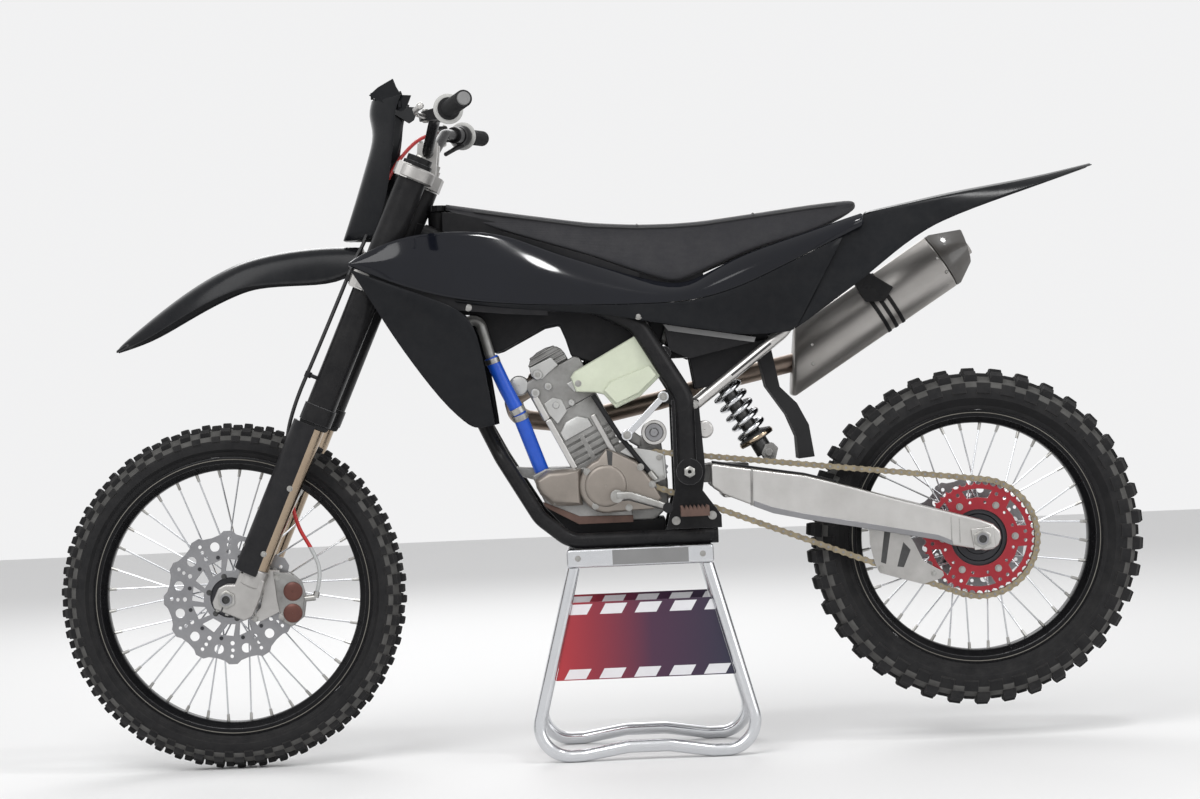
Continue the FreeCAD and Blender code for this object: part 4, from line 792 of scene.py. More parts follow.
# %% Sprocket
CHAIN_Y = 68.0
CHAIN_PITCH = 15.875
TEETH = (13, 46)
low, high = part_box("rear_sprocket")
tip = (high[0] - low[0]) * 500
teeth = []
for i in range(TEETH[1]):
    a = 360 * i / TEETH[1]
    teeth += [spot(REAR_AXLE, tip - 6, a - 1.96), spot(REAR_AXLE, tip - 4, a + 0.1),
              spot(REAR_AXLE, tip, a + 0.98), spot(REAR_AXLE, tip, a + 1.96),
              spot(REAR_AXLE, tip - 4, a + 2.9)]
holes = [circle(xz(REAR_AXLE), 56, 64)]
for i in range(6):
    holes.append([spot(REAR_AXLE, r, 60 * i + 30 + a)
                  for r, a in ((80, -15), (97, -18), (97, -9), (97, 0), (97, 9), (97, 18), (80, 15),
                               (80, 0))])
    holes += [circle(spot(REAR_AXLE, 71, 60 * i + 30 + a), 3.0, 12) for a in (-12, 12)]
    holes += [circle(spot(REAR_AXLE, 93, 60 * i + a), 3.6, 12) for a in (-5.5, 5.5)]
piece("rear_sprocket_teeth", [pierced(teeth, holes, CHAIN_Y - 3, CHAIN_Y + 3)], "red", "rear_wheel",
      ("rear_sprocket",), edge=0.5)
carrier = [turned([(20, 52.5), (52, 52.5), (60, 60), (60, 65), (48, 66), (46, 63), (34, 63),
                   (32, 66.5), (20, 66.5)], xz(REAR_AXLE), 64)]
heads = []
for i in range(6):
    x, z = spot(REAR_AXLE, 72, 60 * i)
    carrier.append(swept([(x, 57, z), (x, CHAIN_Y - 3, z)], 9, 24))
    heads += bolt((x, CHAIN_Y + 3, z), LEFT, 5.4, 4.5)
piece("sprocket_carrier", carrier, "hub", "rear_wheel", edge=0.6)
piece("sprocket_bolts", heads, "bolt", "rear_wheel")
for name in ("front_sprocket", "front_axle", "rear_axle"):
    coat(name, "steel")
print("sprocket teeth:", TEETH[1])

# %% [markdown]
# ## Chain
# The chain is a closed loop of links round the two sprockets. Its path is two arcs and two
# straight runs, and rollers are spaced evenly along it, joined by inner and outer plates in turn.


# %% Chain links
def polar(centre, radius, angle):
    """Point at a radius and an angle in radians round a centre."""
    return Vector((centre.x + radius * math.cos(angle), 0, centre.z + radius * math.sin(angle)))


def chain_path():
    """Points a pitch apart round both sprockets, in the chain's plane."""
    small, large = [CHAIN_PITCH / (2 * math.sin(math.pi / t)) for t in TEETH]
    run = REAR_AXLE - COUNTERSHAFT
    base = math.atan2(run.z, run.x)
    span = math.hypot(run.x, run.z)
    lean = math.acos((small - large) / span)
    straight = math.sqrt(span ** 2 - (large - small) ** 2)
    arcs = (small * (2 * math.pi - 2 * lean), large * 2 * lean)
    total = arcs[0] + arcs[1] + 2 * straight
    count = 2 * round(total / CHAIN_PITCH / 2)

    def at(distance):
        if distance < arcs[0]:
            return polar(COUNTERSHAFT, small, base - lean - distance / small)
        distance -= arcs[0]
        if distance < straight:
            start = polar(COUNTERSHAFT, small, base + lean)
            return start.lerp(polar(REAR_AXLE, large, base + lean), distance / straight)
        distance -= straight
        if distance < arcs[1]:
            return polar(REAR_AXLE, large, base + lean - distance / large)
        distance -= arcs[1]
        start, end = polar(REAR_AXLE, large, base - lean), polar(COUNTERSHAFT, small, base - lean)
        return start.lerp(end, distance / straight)

    return [at(total * i / count) for i in range(count)]


def link_plate(start, end, y0, y1, radius, waist):
    """Figure of eight between two pins."""
    along = (end - start).normalized()
    across = Vector((-along.z, 0, along.x))
    edge = []
    for centre, first in ((end, -75), (start, 105)):
        for n in range(6):
            a = math.radians(first + 30 * n)
            edge.append(centre + (along * math.cos(a) + across * math.sin(a)) * radius)
        edge.append((start + end) / 2 + across * waist * (1 if first < 0 else -1))
    return extruded([xz(p) for p in edge], CHAIN_Y + y0, CHAIN_Y + y1)


pins = chain_path()
plates, rollers = [], []
for i, pin in enumerate(pins):
    after = pins[(i + 1) % len(pins)]
    for sign in (1, -1):
        near, far = (5.6, 7.4) if i % 2 else (3.8, 5.5)
        plates.append(link_plate(pin, after, *sorted((sign * near, sign * far)), 6.6, 4.6))
    rollers.append(swept([pin + Vector((0, CHAIN_Y - 3.8, 0)), pin + Vector((0, CHAIN_Y + 3.8, 0))],
                         5.1, 12))
    rollers.append(swept([pin + Vector((0, CHAIN_Y - 8.2, 0)), pin + Vector((0, CHAIN_Y + 8.2, 0))],
                         2.4, 8))
piece("chain_plates", plates, "chain", "chassis", ("chain",), smooth=30)
piece("chain_rollers", rollers, "steel", "chassis", smooth=40)
print("chain links:", len(pins))

# %% [markdown]
# ## Bodywork
# Panels, fenders and plate are thin mouldings: a grid of points from the side view's tables, a
# wall, and two levels of subdivision to round what the CAD keeps flat.

# %% Moulded panels
# x, then y and z of the upper edge, of the crease, and of the side plate's lower edge
TANK = [(470, 157, 996, 157, 988), (431, 152, 1019, 163, 972), (355, 146, 1046, 168, 940),
        (264, 128, 1051, 166, 914, 160, 909), (166, 102, 1045, 156, 903, 144, 892),
        (86, 91, 1006, 148, 897, 137, 884), (-30, 91, 968, 138, 893, 127, 875),
        (-168, 93, 921, 124, 892, 116, 845), (-223, 93, 944, 121, 899, 113, 838),
        (-300, 90, 982, 117, 919, 109, 820), (-395, 86, 1010, 111, 963, 103, 826),
        (-545, 78, 1056, 88, 1030)]
# x, then the top's z and half-width, then the bottom's z and half-width
SEAT = [(283, 1112, 30, 1098, 40), (168, 1091, 44, 1050, 62), (0, 1062, 56, 994, 80),
        (-98, 1054, 62, 955, 84), (-168, 1053, 66, 930, 86), (-225, 1055, 68, 953, 84),
        (-329, 1066, 66, 993, 76), (-446, 1079, 62, 1022, 70), (-540, 1086, 58, 1066, 64)]
# x, then the middle's z, then half-width and z of the shoulder, then of the edge
TAIL = [(-396, 0, 79, 1034, 103, 826), (-515, 0, 74, 1040, 100, 908),
        (-556, 1062, 70, 1056, 96, 936),
        (-644, 1078, 66, 1072, 88, 1006), (-744, 1098, 60, 1090, 80, 1053),
        (-896, 1117, 46, 1110, 62, 1098), (-1012, 1140, 26, 1137, 34, 1134)]
NOSE_FENDER = [(452, 1034, 36, 1026, 48, 1000), (510, 1038, 38, 1030, 51, 965),
               (600, 1034, 44, 1026, 60, 967), (675, 1022, 50, 1012, 67, 966),
               (714, 1009, 52, 998, 70, 955), (769, 984, 52, 972, 70, 932),
               (832, 945, 46, 934, 64, 898), (892, 901, 34, 892, 48, 864),
               (956, 850, 8, 848, 12, 844)]
# front edge and rear edge of the radiator wing, from the top down
WING = [((470, 160, 985), (466, 160, 981)), ((453, 160, 959), (314, 170, 921)),
        ((410, 157, 885), (241, 170, 889)), ((377, 152, 828), (220, 166, 835)),
        ((299, 140, 713), (205, 144, 720)), ((243, 130, 660), (198, 134, 666))]
# z, then the front's x and half-width, then the rear edge's x and half-width
PLATE = [(1046, 488, 30, 428, 66), (1122, 458, 40, 396, 88), (1200, 432, 48, 384, 98),
         (1258, 412, 56, 374, 108), (1294, 426, 60, 372, 116), (1329, 414, 62, 356, 118)]


def walled(stations, inward):
    """Closed moulding: the outer sheet, the same sheet moved inward, and its rim."""
    rows = [[Vector(p) for p in station] for station in stations]
    inward = Vector(inward)
    return lofted([row + [p + inward for p in reversed(row)] for row in rows])


def folded(edge):
    """True where two faces meet at more than 60 degrees."""
    return len(edge.link_faces) == 2 and edge.calc_face_angle() > math.radians(60)


def panel(name, lumps, look, body, replaces):
    """Moulding whose corners stay and whose middle is rounded by subdivision."""
    made = piece(name, lumps, look, body, replaces, smooth=180, level=2)
    crease_edges(made.data, folded, 0.85)


upper = [[(x, yu, zu), (x, (yu * 3 + yc) / 4 + 6, (zu * 3 + zc) / 4),
          (x, (yu + yc) / 2 + 8.5, (zu + zc) / 2), (x, (yu + yc * 3) / 4 + 6, (zu + zc * 3) / 4),
          (x, yc, zc)] for x, yu, zu, yc, zc, *_ in TANK]
panel("tank_panels_moulded", sides([walled(upper, (0, -3, 0))]), "gloss", "chassis",
      ("tank_panels",))
lower = [[(r[0], r[3] - 0.4, r[4] - 1), (r[0], (r[3] + r[5]) / 2 + 1, (r[4] + r[6]) / 2),
          (r[0], r[5], r[6])] for r in TANK if len(r) == 7]
lower.append([(-506, 94.4, 1011.6), (-455, 102.5, 925), (-402, 103.4, 829)])
panel("side_plates_moulded", sides([walled(lower, (0, -3, 0))]), "satin", "chassis",
      ("side_plates",))
wing = []
for front, rear in WING:
    front, rear = Vector(front), Vector(rear)
    bulge = min((front - rear).length, 60) * 0.07
    wing.append([front, front.lerp(rear, 0.33) + Vector((0, bulge, 0)),
                 front.lerp(rear, 0.67) + Vector((0, bulge, 0)), rear])
panel("radiator_wings_moulded", sides([walled(wing, (0, -3.5, 0))]), "satin", "chassis",
      ("radiator_wings",))


def arched(x, zm, ws, zs, we, ze):
    """Section of a fender: its middle, shoulders and edges."""
    return [(x, -we, ze), (x, -(ws + we) / 2 - 2, (zs + ze) / 2 + 4), (x, -ws, zs),
            (x, -ws / 2, (zs + zm) / 2 + 2), (x, 0, zm), (x, ws / 2, (zs + zm) / 2 + 2),
            (x, ws, zs), (x, (ws + we) / 2 + 2, (zs + ze) / 2 + 4), (x, we, ze)]


panel("front_fender_moulded", [walled([arched(*row) for row in NOSE_FENDER], (0, 0, -3))], "satin",
      "steering", ("front_fender",))
# how far the two foremost sections' upper corners lie behind their lower ones
leans = (96, 14, 0, 0, 0, 0, 0)
flank = [[(x - lean, ws, zs), (x - lean / 2, (ws + we) / 2 + 1, (zs + ze) / 2), (x, we - 1.2, ze)]
         for lean, (x, zm, ws, zs, we, ze) in zip(leans, TAIL)]
spine = [[(x, -ws, zs), (x, -ws / 2, (zs + zm) / 2 + 2), (x, 0, zm), (x, ws / 2, (zs + zm) / 2 + 2),
          (x, ws, zs)] for x, zm, ws, zs, we, ze in TAIL[2:]]
tail = [*sides([walled(flank, (0, -3, 0))]), walled(spine, (0, 0, -3))]
panel("rear_fender_moulded", tail, "satin", "chassis", ("rear_fender",))
# dark strips behind the seams between the upper panel, the wing and the seat: painted shade that
# keeps the gaps dark
lip = [[(x, yc - 9, zc + 8), (x, yc - 10, zc - 20)] for x, yu, zu, yc, zc, *_ in TANK[1:6]]
base = [[(x, wb - 12, zb + 8), (x, wb - 13, zb - 26)] for x, zt, wt, zb, wb in SEAT[1:6]]
piece("seam_shade_backing", sides([walled(lip, (0, -3, 0)), walled(base, (0, -3, 0))]), "plastic",
      "chassis", smooth=60)
shoulder = [extruded([(290, 1040), (290, 1094), (262, 1092), (150, 1062), (150, 1020)], 40, 52)]
piece("tank_shoulders", sides(shoulder), "plastic", "chassis", edge=2)
shell = []
for z, xf, wf, xr, wr in PLATE:
    half = [(xr, wr), ((xr + xf * 2) / 3 + 1, (wr + wf * 2) / 3), (xf, wf), (xf + 5, wf / 2),
            (xf + 7, 0)]
    ring = half + [(x, -w) for x, w in reversed(half[:-1])]
    shell.append([(min(x, 492), w, z) for x, w in ring])
panel("number_plate_moulded", [walled(shell, (-3, 0, 0))], "satin", "steering",
      ("number_plate",))
# the ear stands a slit's width off the shell, on tabs; x, y and z of its edge, from the front
EAR = [(424, 62, 1331), (404, 84, 1344), (372, 110, 1357), (366, 113, 1340), (357, 115, 1324),
       (337, 117, 1322), (348, 117, 1296), (358, 118, 1290)]
wing_out = [[(x, y, z) for x, y, z in EAR], [(x - 1.5, y - 3, z) for x, y, z in EAR]]
ears = [lofted(wing_out)]
for x, y, z in ((417, 64, 1329), (394, 84, 1325), (372, 103, 1318), (360, 114, 1306)):
    ears.append(lofted([[(x + dx, y + dy, z + dz)
                         for dx, dz in ((-3, -7), (3, -7), (3, 7), (-3, 7))] for dy in (-4, 0)]))
piece("plate_ears", sides(ears), "satin", "steering", edge=0.8)
screws = []
for x, y, z in ((240, 153, 898), (-92, 122.5, 868)):
    screws += bolt((x, y, z), LEFT, 5.5, 3)
piece("panel_screws", sides(screws), "bolt", "chassis", edge=0.5)
print("panels:", [p.name for p in pieces[-6:]])

# %% [markdown]
# ## Seat
# The seat is upholstered foam: a crowned top, sides that pull in a little below a line of
# piping, and a cover with a fine gripping texture.

# %% Seat cover finish
cover = finish("seat_cover", (0.022, 0.022, 0.025), (0.034, 0.034, 0.038), (0.55, 0.72), patches=7,
               dusty=0.08, grain_scale=1500, bump=0.5, shader={**DIM, "Sheen Weight": 0.1})
tree = cover.node_tree
dots = node(tree, "ShaderNodeTexVoronoi", {"Scale": 420.0, "Randomness": 0.15})
tree.links.new(own_place(tree), dots.inputs["Vector"])
old_relief = next(n for n in tree.nodes if n.type == "BUMP")
stipple = node(tree, "ShaderNodeBump", {"Strength": 0.55, "Distance": 0.0012})
tree.links.new(dots.outputs["Distance"], stipple.inputs["Height"])
tree.links.new(old_relief.outputs[0], stipple.inputs["Normal"])
tree.links.new(stipple.outputs[0], tree.nodes["Principled BSDF"].inputs["Normal"])
looks["cover"] = cover
print("seat cover made of", len(tree.nodes), "nodes")

# %% Seat
SEAT_NOSE_FROM = 0.28


def along_seat(x):
    """Top and bottom of the seat at x, between its stations."""
    for a, b in zip(SEAT, SEAT[1:]):
        if a[0] >= x >= b[0]:
            share = (a[0] - x) / (a[0] - b[0])
            return [p + (q - p) * share for p, q in zip(a, b)]
    return SEAT[-1] if x < SEAT[-1][0] else SEAT[0]


def seat_ring(row, shrink=0.0):
    """Section across the seat: flat bottom, pulled-in sides, a seam, and a crowned top."""
    x, zt, wt, zb, wb = row
    side = zt - 9 - zb
    half = [(wb * 0.5, zb), (wb - 4, zb), (wb - 1, zb + side * 0.08 + 1),
            (wb + (wt + 6 - wb) * 0.35 - 2.5, zb + side * 0.4),
            (wt + 4, zb + side * 0.8), (wt + 5.5, zt - 10), (wt + 3.5, zt - 6.5),
            (wt - 4, zt - 2.6),
            (wt * 0.6, zt - 0.6), (wt * 0.25, zt)]
    half = [(w - shrink, z) for w, z in half]
    return [(x, w, z) for w, z in half] + [(x, -w, z) for w, z in reversed(half)]


stations = []
for a, b in zip(SEAT, SEAT[1:]):
    stations += [a, [(p + q) / 2 for p, q in zip(a, b)]]
stations.append(SEAT[-1])
cushion = piece("seat_cushion", [lofted([seat_ring(row) for row in stations])], "cover", "chassis",
                ("seat",), smooth=180, level=2)
crease_edges(cushion.data, lambda edge: all(corner.co.x > SEAT_NOSE_FROM for corner in edge.verts),
             0.8)
welt = []
for sign in (1, -1):
    line = [(row[0], sign * (row[2] + 5.2), row[1] - 9.5) for row in stations[1:-1]]
    welt.append(swept(line, 2.1, 8))
for x in (-98.0, -330.0):
    row = along_seat(x)
    ring = [p for p in seat_ring(row, -0.4) if p[2] > row[1] - 12]
    ring.sort(key=lambda p: p[1])
    welt.append(swept([(x, y, z + 0.6) for x, y, z in ring], 1.4, 6))
piece("seat_piping", welt, "piping", "chassis")
filler = [swept([(300, 0, 1052), (300, 0, 1096), (300, 0, 1098), (300, 0, 1108), (300, 0, 1110)],
                [20, 20, 24, 24, 22], 32)]
for n in range(12):
    a = math.pi * n / 6
    rib = Vector((300 + 24 * math.cos(a), 24 * math.sin(a), 1098))
    filler.append(swept([rib, rib + Vector((0, 0, 11))], 2.2, 8))
piece("filler_cap", filler, "plastic", "chassis", edge=0.8)
print("seat from", SEAT[0][0], "to", SEAT[-1][0])

# %% [markdown]
# ## Stand
# The stand is a pair of bright bent tubes under a flat deck. A thin panel on each side fades from
# red in front to dark blue behind, with slanting pale stripes.

# %% Stand panel finish
banner, tree, surface = new_material("stand_panel_paint")
surface.inputs["Roughness"].default_value = 0.35
axes = own_axes(tree)
fade = node(tree, "ShaderNodeMapRange", {"From Min": -0.25, "From Max": 0.1})
tree.links.new(axes["X"], fade.inputs["Value"])
ramp = node(tree, "ShaderNodeValToRGB")
for stop, (at, colour) in enumerate(((0.0, (0.012, 0.013, 0.035)), (0.45, (0.05, 0.012, 0.04)),
                                     (0.8, (0.24, 0.016, 0.03)), (1.0, (0.38, 0.022, 0.03)))):
    step = ramp.color_ramp.elements[stop] if stop < 2 else ramp.color_ramp.elements.new(at)
    step.position = at
    step.color = (*colour, 1)
tree.links.new(fade.outputs[0], ramp.inputs["Fac"])
low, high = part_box("stand_panels")
STRIPE_PERIOD, STRIPE_WIDTH, STRIPE_SLANT = 0.0686, 0.043, 0.6


def stripe_mask(z_from, z_to):
    """Slanting bars between two heights."""
    slanted = math_node(tree, "MULTIPLY", axes["Z"], STRIPE_SLANT)
    shifted = math_node(tree, "ADD", axes["X"], slanted)
    phase = math_node(tree, "FRACT", math_node(tree, "DIVIDE", shifted, STRIPE_PERIOD))
    inside = math_node(tree, "LESS_THAN", phase, STRIPE_WIDTH / STRIPE_PERIOD)
    return math_node(tree, "MULTIPLY", inside, height_between(tree, axes, z_from, z_to))


top_bars = stripe_mask(high[2] - 0.024, high[2] - 0.004)
low_bars = stripe_mask(low[2] + 0.002, low[2] + 0.021)
print("stand panel from", round(low[2], 3), "to", round(high[2], 3))
bars = math_node(tree, "MAXIMUM", top_bars, low_bars)
scuffed = math_node(tree, "MULTIPLY", bars, group_node(tree, clouds, Scale=30.0, Contrast=0.5),
                    clamp=True)
painted = math_node(tree, "ADD", math_node(tree, "MULTIPLY", bars, 0.7),
                    math_node(tree, "MULTIPLY", scuffed, 0.4), clamp=True)
shade = mix_colour(tree, painted, ramp.outputs["Color"], (0.72, 0.72, 0.74))
tree.links.new(shade, surface.inputs["Base Color"])
add_grain(tree, surface, 0.06)
looks["banner"] = banner

# %% Stand
coat("stand_legs", "polished")
coat("stand_panels", "banner")
low, high = [Vector(c) * 1000 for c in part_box("stand_deck")]
rim = block(low.x, high.x, low.y, high.y, low.z, high.z)
piece("stand_deck_folded", [rim], "polished", "chassis", ("stand_deck",), edge=6)
grip = [block(low.x + 50, high.x - 90, y0, y1, low.z + 4, high.z - 4)
        for y0, y1 in ((high.y - 2, high.y + 0.6), (low.y - 0.6, low.y + 2))]
piece("stand_tape", grip, "grey_plastic", "chassis", edge=0.3)
heads = []
for y in (high.y, low.y):
    for x in (low.x + 22, high.x - 22):
        heads += bolt((x, y, (low.z + high.z) / 2), (0, y, 0), 4.5, 2.5)
piece("stand_bolts", heads, "bolt", "chassis")
print("stand deck at", round(low.z), "to", round(high.z), "mm")

# %% [markdown]
# ## Fork
# Black outer tubes run down into gold-brown stanchions, and each stanchion ends in a silver
# casting that clamps the axle. Rubber wipers close the outer tubes. Plastic guards wrap the
# stanchions from the front.

# %% Fork helpers
def fork_shape(outline, y0, y1):
    """Side view in the fork's own axes, as (forward, height), from y0 to y1."""
    return extruded([xz(fork_point(s, f)) for f, s in outline], y0, y1)


def fork_rings(profile, y):
    """Round form about a line along the fork, from (height, radius) pairs."""
    return strung([(fork_point(s, 0, y), r) for s, r in profile], 48)


print("fork foot at", [round(c) for c in FORK_FOOT])

# %% Stanchions, castings and wipers
STANCHION = [(62, 24), (398, 24)]
WIPER = [(375, 25), (377, 29), (385, 30.5), (387, 28)]
CASTING = [(-29, -12), (-18, -26), (47, -26), (54, -16), (54, 15), (44, 26), (27, 33), (26, 62),
           (-26, 62), (-29, 30)]
piece("fork_stanchions", sides([fork_rings(STANCHION, LEG_Y)]), "gold", "steering",
      ("fork_legs",))
cast = [fork_shape(CASTING, LEG_Y - 19, LEG_Y + 21),
        fork_rings([(40, 28), (72, 28), (78, 25.5)], LEG_Y)]
piece("fork_castings", sides(cast), "forged", "steering", edge=3.5)
# a thin dark strip on each casting is painted shade in its pinch slit
slit = [fork_shape([(30, -26.6), (33, -26.6), (33, -8), (30, -8)], LEG_Y + 20.6, LEG_Y + 21.6)]
piece("casting_slit_shade", sides(slit), "dark_bolt_and_shade", "steering")
piece("fork_wipers", sides([fork_rings(WIPER, LEG_Y)]), "rubber", "steering")
coat("fork_tubes", "frame")
collars = [fork_rings([(s - h, 37), (s - h + 3, 41), (s + h - 3, 41), (s + h, 37)], LEG_Y)
           for s, h in ((915, 13.5), (680, 16.5))]
piece("clamp_collars", sides(collars), "forged", "steering", edge=0.8)
coat("fork_guards", "plastic")
coat("fork_clamps", "forged")
hardware = []
for sign in (1, -1):
    for f in (40, 20):
        for y in (LEG_Y - 9, LEG_Y + 11):
            hardware += bolt(fork_point(-25.6, f, sign * y), -FORK_UP, 4.2, 3.5)
    for s, f, lean in ((112, 38, 0.8), (190, 38, 0.8), (112, -6, 0.0), (250, -6, 0.0)):
        hardware += bolt(fork_point(s, f - 2 if lean else f, sign * (LEG_Y + (12 if lean else 41))),
                         FORK_AHEAD * lean + Vector((0, sign * (0.6 if lean else 1), 0)), 4.5, 3)
    for height, front in ((915, 34), (680, 36)):
        for step in (-8, 8):
            hardware += bolt(fork_point(height + step, front - 0.5, sign * (LEG_Y - 42)),
                             FORK_AHEAD, 4.5, 4)
    cap = fork_point(948, 0, sign * LEG_Y)
    hardware += bolt(cap, FORK_UP, 11, 4, washer=False)
piece("fork_bolts", hardware, "bolt", "steering", edge=0.4)
nut = [swept([fork_point(940, -22), fork_point(952, -22)], [15, 14], 6)]
piece("steering_nut", nut, "bolt", "steering", edge=1)
print("fork pieces:", [p.name for p in pieces[-6:]])

# %% [markdown]
# ## Front brake
# The caliper holds the disc from behind the left leg. Its outer half carries two red-brown
# piston covers, and a bracket ties it to the leg.

# %% Caliper
def from_axle(points, axle):
    """Side-view places given from an axle."""
    return [(axle.x + x, axle.z + z) for x, z in points]


BODY = [(-90, 50), (-120, 45), (-141, 26), (-150, -6), (-144, -45), (-123, -61), (-103, -50),
        (-95, -8)]
BRACKET = [(-103, 52), (-41, 57), (-38, 40), (-72, 24), (-62, -20), (-41, -44), (-62, -48),
           (-106, -28)]
outer = [extruded(from_axle(BODY, FRONT_AXLE), 69.5, 95)]
inner = [extruded(from_axle(BODY, FRONT_AXLE), 41, 54.5)]
bridge = [extruded(from_axle([(-126, 40), (-142, 24), (-149, -6), (-143, -42), (-137, -38),
                              (-141, -4), (-134, 24)], FRONT_AXLE), 50, 74)]
piece("caliper_body", [*outer, *inner, *bridge], "cast", "steering", ("front_caliper",),
      edge=4)
piece("caliper_bracket", [extruded(from_axle(BRACKET, FRONT_AXLE), 84.5, 93)], "forged", "steering",
      edge=1.5)
lobes = []
for x, z in ((-128, 9), (-126, -34)):
    lobes.append(turned([(0.5, 93), (0.5, 99.5), (13, 99.5), (18.5, 97), (19.5, 93)],
                        (FRONT_AXLE.x + x, FRONT_AXLE.z + z), 32))
looks["maroon"] = finish("maroon_cover", (0.13, 0.05, 0.038), (0.09, 0.035, 0.028), (0.3, 0.45),
                         metallic=0.5, patches=40)
piece("caliper_lobes", lobes, "maroon", "steering", edge=0.8)
pins = []
for x, z, y in ((-98, 38, 95), (-104, -40, 95), (-52, 48, 93), (-52, -42, 93)):
    pins += bolt((FRONT_AXLE.x + x, y, FRONT_AXLE.z + z), LEFT, 5, 4)
piece("caliper_bolts", pins, "bolt", "steering", edge=0.4)
hose_end = FRONT_AXLE + Vector((-174.5, 84, 6))
hose_down = Vector((10.5, 0, -34)).normalized()
elbow = hose_end + hose_down * 12
union = [bar(hose_end + hose_down * 0.3, elbow, 6.2),
         bar(elbow, FRONT_AXLE + Vector((-140, 84, -8)), 6.2)]
piece("caliper_union", union, "bolt", "steering")
print("caliper made behind the left leg")

# %% [markdown]
# ## Front brake hose
# The hose leaves the right lever's cylinder, sags across behind the number plate, follows the
# left leg down, and turns into the caliper from above.

# %% Hose route
HOSE_BAR = [(308, -206, 1277), (336, -160, 1266), (368, -112, 1232), (392, -56, 1190),
            (414, -6, 1136), (431, 34, 1082), (446, 68, 1036)]
HOSE_LEG = [(712, 47, 92), (610, 47, 101), (500, 49, 100), (410, 52, 95), (335, 44, 78),
            (262, 10, 67), (186, -34, 70)]
HOSE_LOW = [(-171, 80, 84), (-185, 84, 40), (-174.5, 84, 6)]
route = [Vector(p) for p in HOSE_BAR] + [fork_point(s, f, y) for s, f, y in HOSE_LEG]
route += [FRONT_AXLE + Vector(p) for p in HOSE_LOW]
curve = bpy.data.curves.new("brake_hose_line", "CURVE")
curve.dimensions = "3D"
line = curve.splines.new("NURBS")
line.points.add(len(route) - 1)
for point, at in zip(line.points, route):
    point.co = (*(at * MM), 1)
    point.radius = 4 * MM
line.order_u = 3
line.use_endpoint_u = True
line.resolution_u = 10
curve.bevel_depth = 1
curve.bevel_resolution = 4
curve.use_fill_caps = True
hose = bpy.data.objects.new("brake_hose_line", curve)
scene.collection.objects.link(hose)
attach(hose, "steering")
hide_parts("brake_hose")
print("hose route:", len(route), "points")

# %% Hose colours
sleeve = finish("brake_hose_sleeve", (0.5, 0.02, 0.02), (0.4, 0.015, 0.015), (0.3, 0.45),
                patches=30)
tree = sleeve.node_tree
surface = tree.nodes["Principled BSDF"]
red = surface.inputs["Base Color"].links[0].from_socket
axes = own_axes(tree)
black_run = mix_colour(tree, height_between(tree, axes, 0.62, 1.17), red, (0.015, 0.015, 0.016))
clear_run = mix_colour(tree, height_between(tree, axes, 0.0, 0.44), black_run, (0.42, 0.43, 0.43))
tree.links.new(clear_run, surface.inputs["Base Color"])
curve.materials.append(sleeve)
clips = []
for s, f, y in ((676, 44, 96), (470, 48, 98), (300, 28, 72)):
    here = fork_point(s, f, y)
    clips.append(swept([here - FORK_UP * 6, here + FORK_UP * 6], 7.0, 12))
clips.append(swept([fork_point(470, 28, 99), fork_point(470, 44, 98)], 4, 8))
piece("hose_clips", clips, "plastic", "steering", edge=0.6)
print("clips on the hose:", len(clips))

# %% [markdown]
# ## Handlebar and controls
# The black bar carries ribbed rubber grips, each with a pale thick ring inboard. Levers hang
# from split perches. The right one has the brake cylinder and its reservoir.

# %% Grips
BAR_CENTRE = Vector((312, 0, 1213))
BAR_RISE = Vector((288, 165, 1270))
BAR_END = Vector((221, 400, 1280))
OUT = (BAR_END - BAR_RISE).normalized()
coat("handlebar", "frame")
GRIP_ROOT = BAR_END - OUT * 125
RIBS, RIB_PITCH = 23, 5.4
grip = [(-1, 12.0), (0, 22.0), (3, 22.0), (3.9, 14.6)]
for n in range(RIBS):
    at = 4 + n * RIB_PITCH
    grip += [(at + step, r) for step, r in ((0, 14.6), (0.7, 16.4), (3.4, 16.4), (4.1, 14.6))]
grip = strung([(GRIP_ROOT + OUT * d, r) for d, r in grip], 28)
piece("grips_ribbed", sides([grip]), "rubber", "steering", ("grips",), smooth=30)
ring = []
for share in range(13):
    a = math.pi * (share / 12 - 0.5)
    ring.append((GRIP_ROOT - OUT * (3.2 - 3.4 * math.sin(a)), 22.5 + 7 * math.cos(a)))
donut = strung(ring, 48)
looks["pale_rubber"] = finish("pale_rubber", (0.5, 0.5, 0.48), (0.42, 0.42, 0.41), (0.5, 0.65),
                              patches=30, dusty=0.2)
piece("grip_rings", sides([donut]), "pale_rubber", "steering", smooth=60)
cap = [bar(BAR_END + OUT * 0.5, BAR_END + OUT * 5.8, 13.5, 32, 12.0)]
piece("bar_end_caps", sides(cap), "grey_plastic", "steering", edge=0.8)
housing = [swept([GRIP_ROOT - OUT * d for d in (7, 9, 20, 24, 33)], [20, 23, 23, 20.5, 19], 32)]
tube_start = GRIP_ROOT - OUT * 20 + Vector((-4, 0, -20))
housing.append(swept([tube_start, tube_start + Vector((14, -20, -8)),
                      tube_start + Vector((34, -48, -22))], [6, 5, 4.5], 12))
piece("throttle_housing", mirrored(housing), "frame", "steering", edge=1)
print("grip ribs:", RIBS)

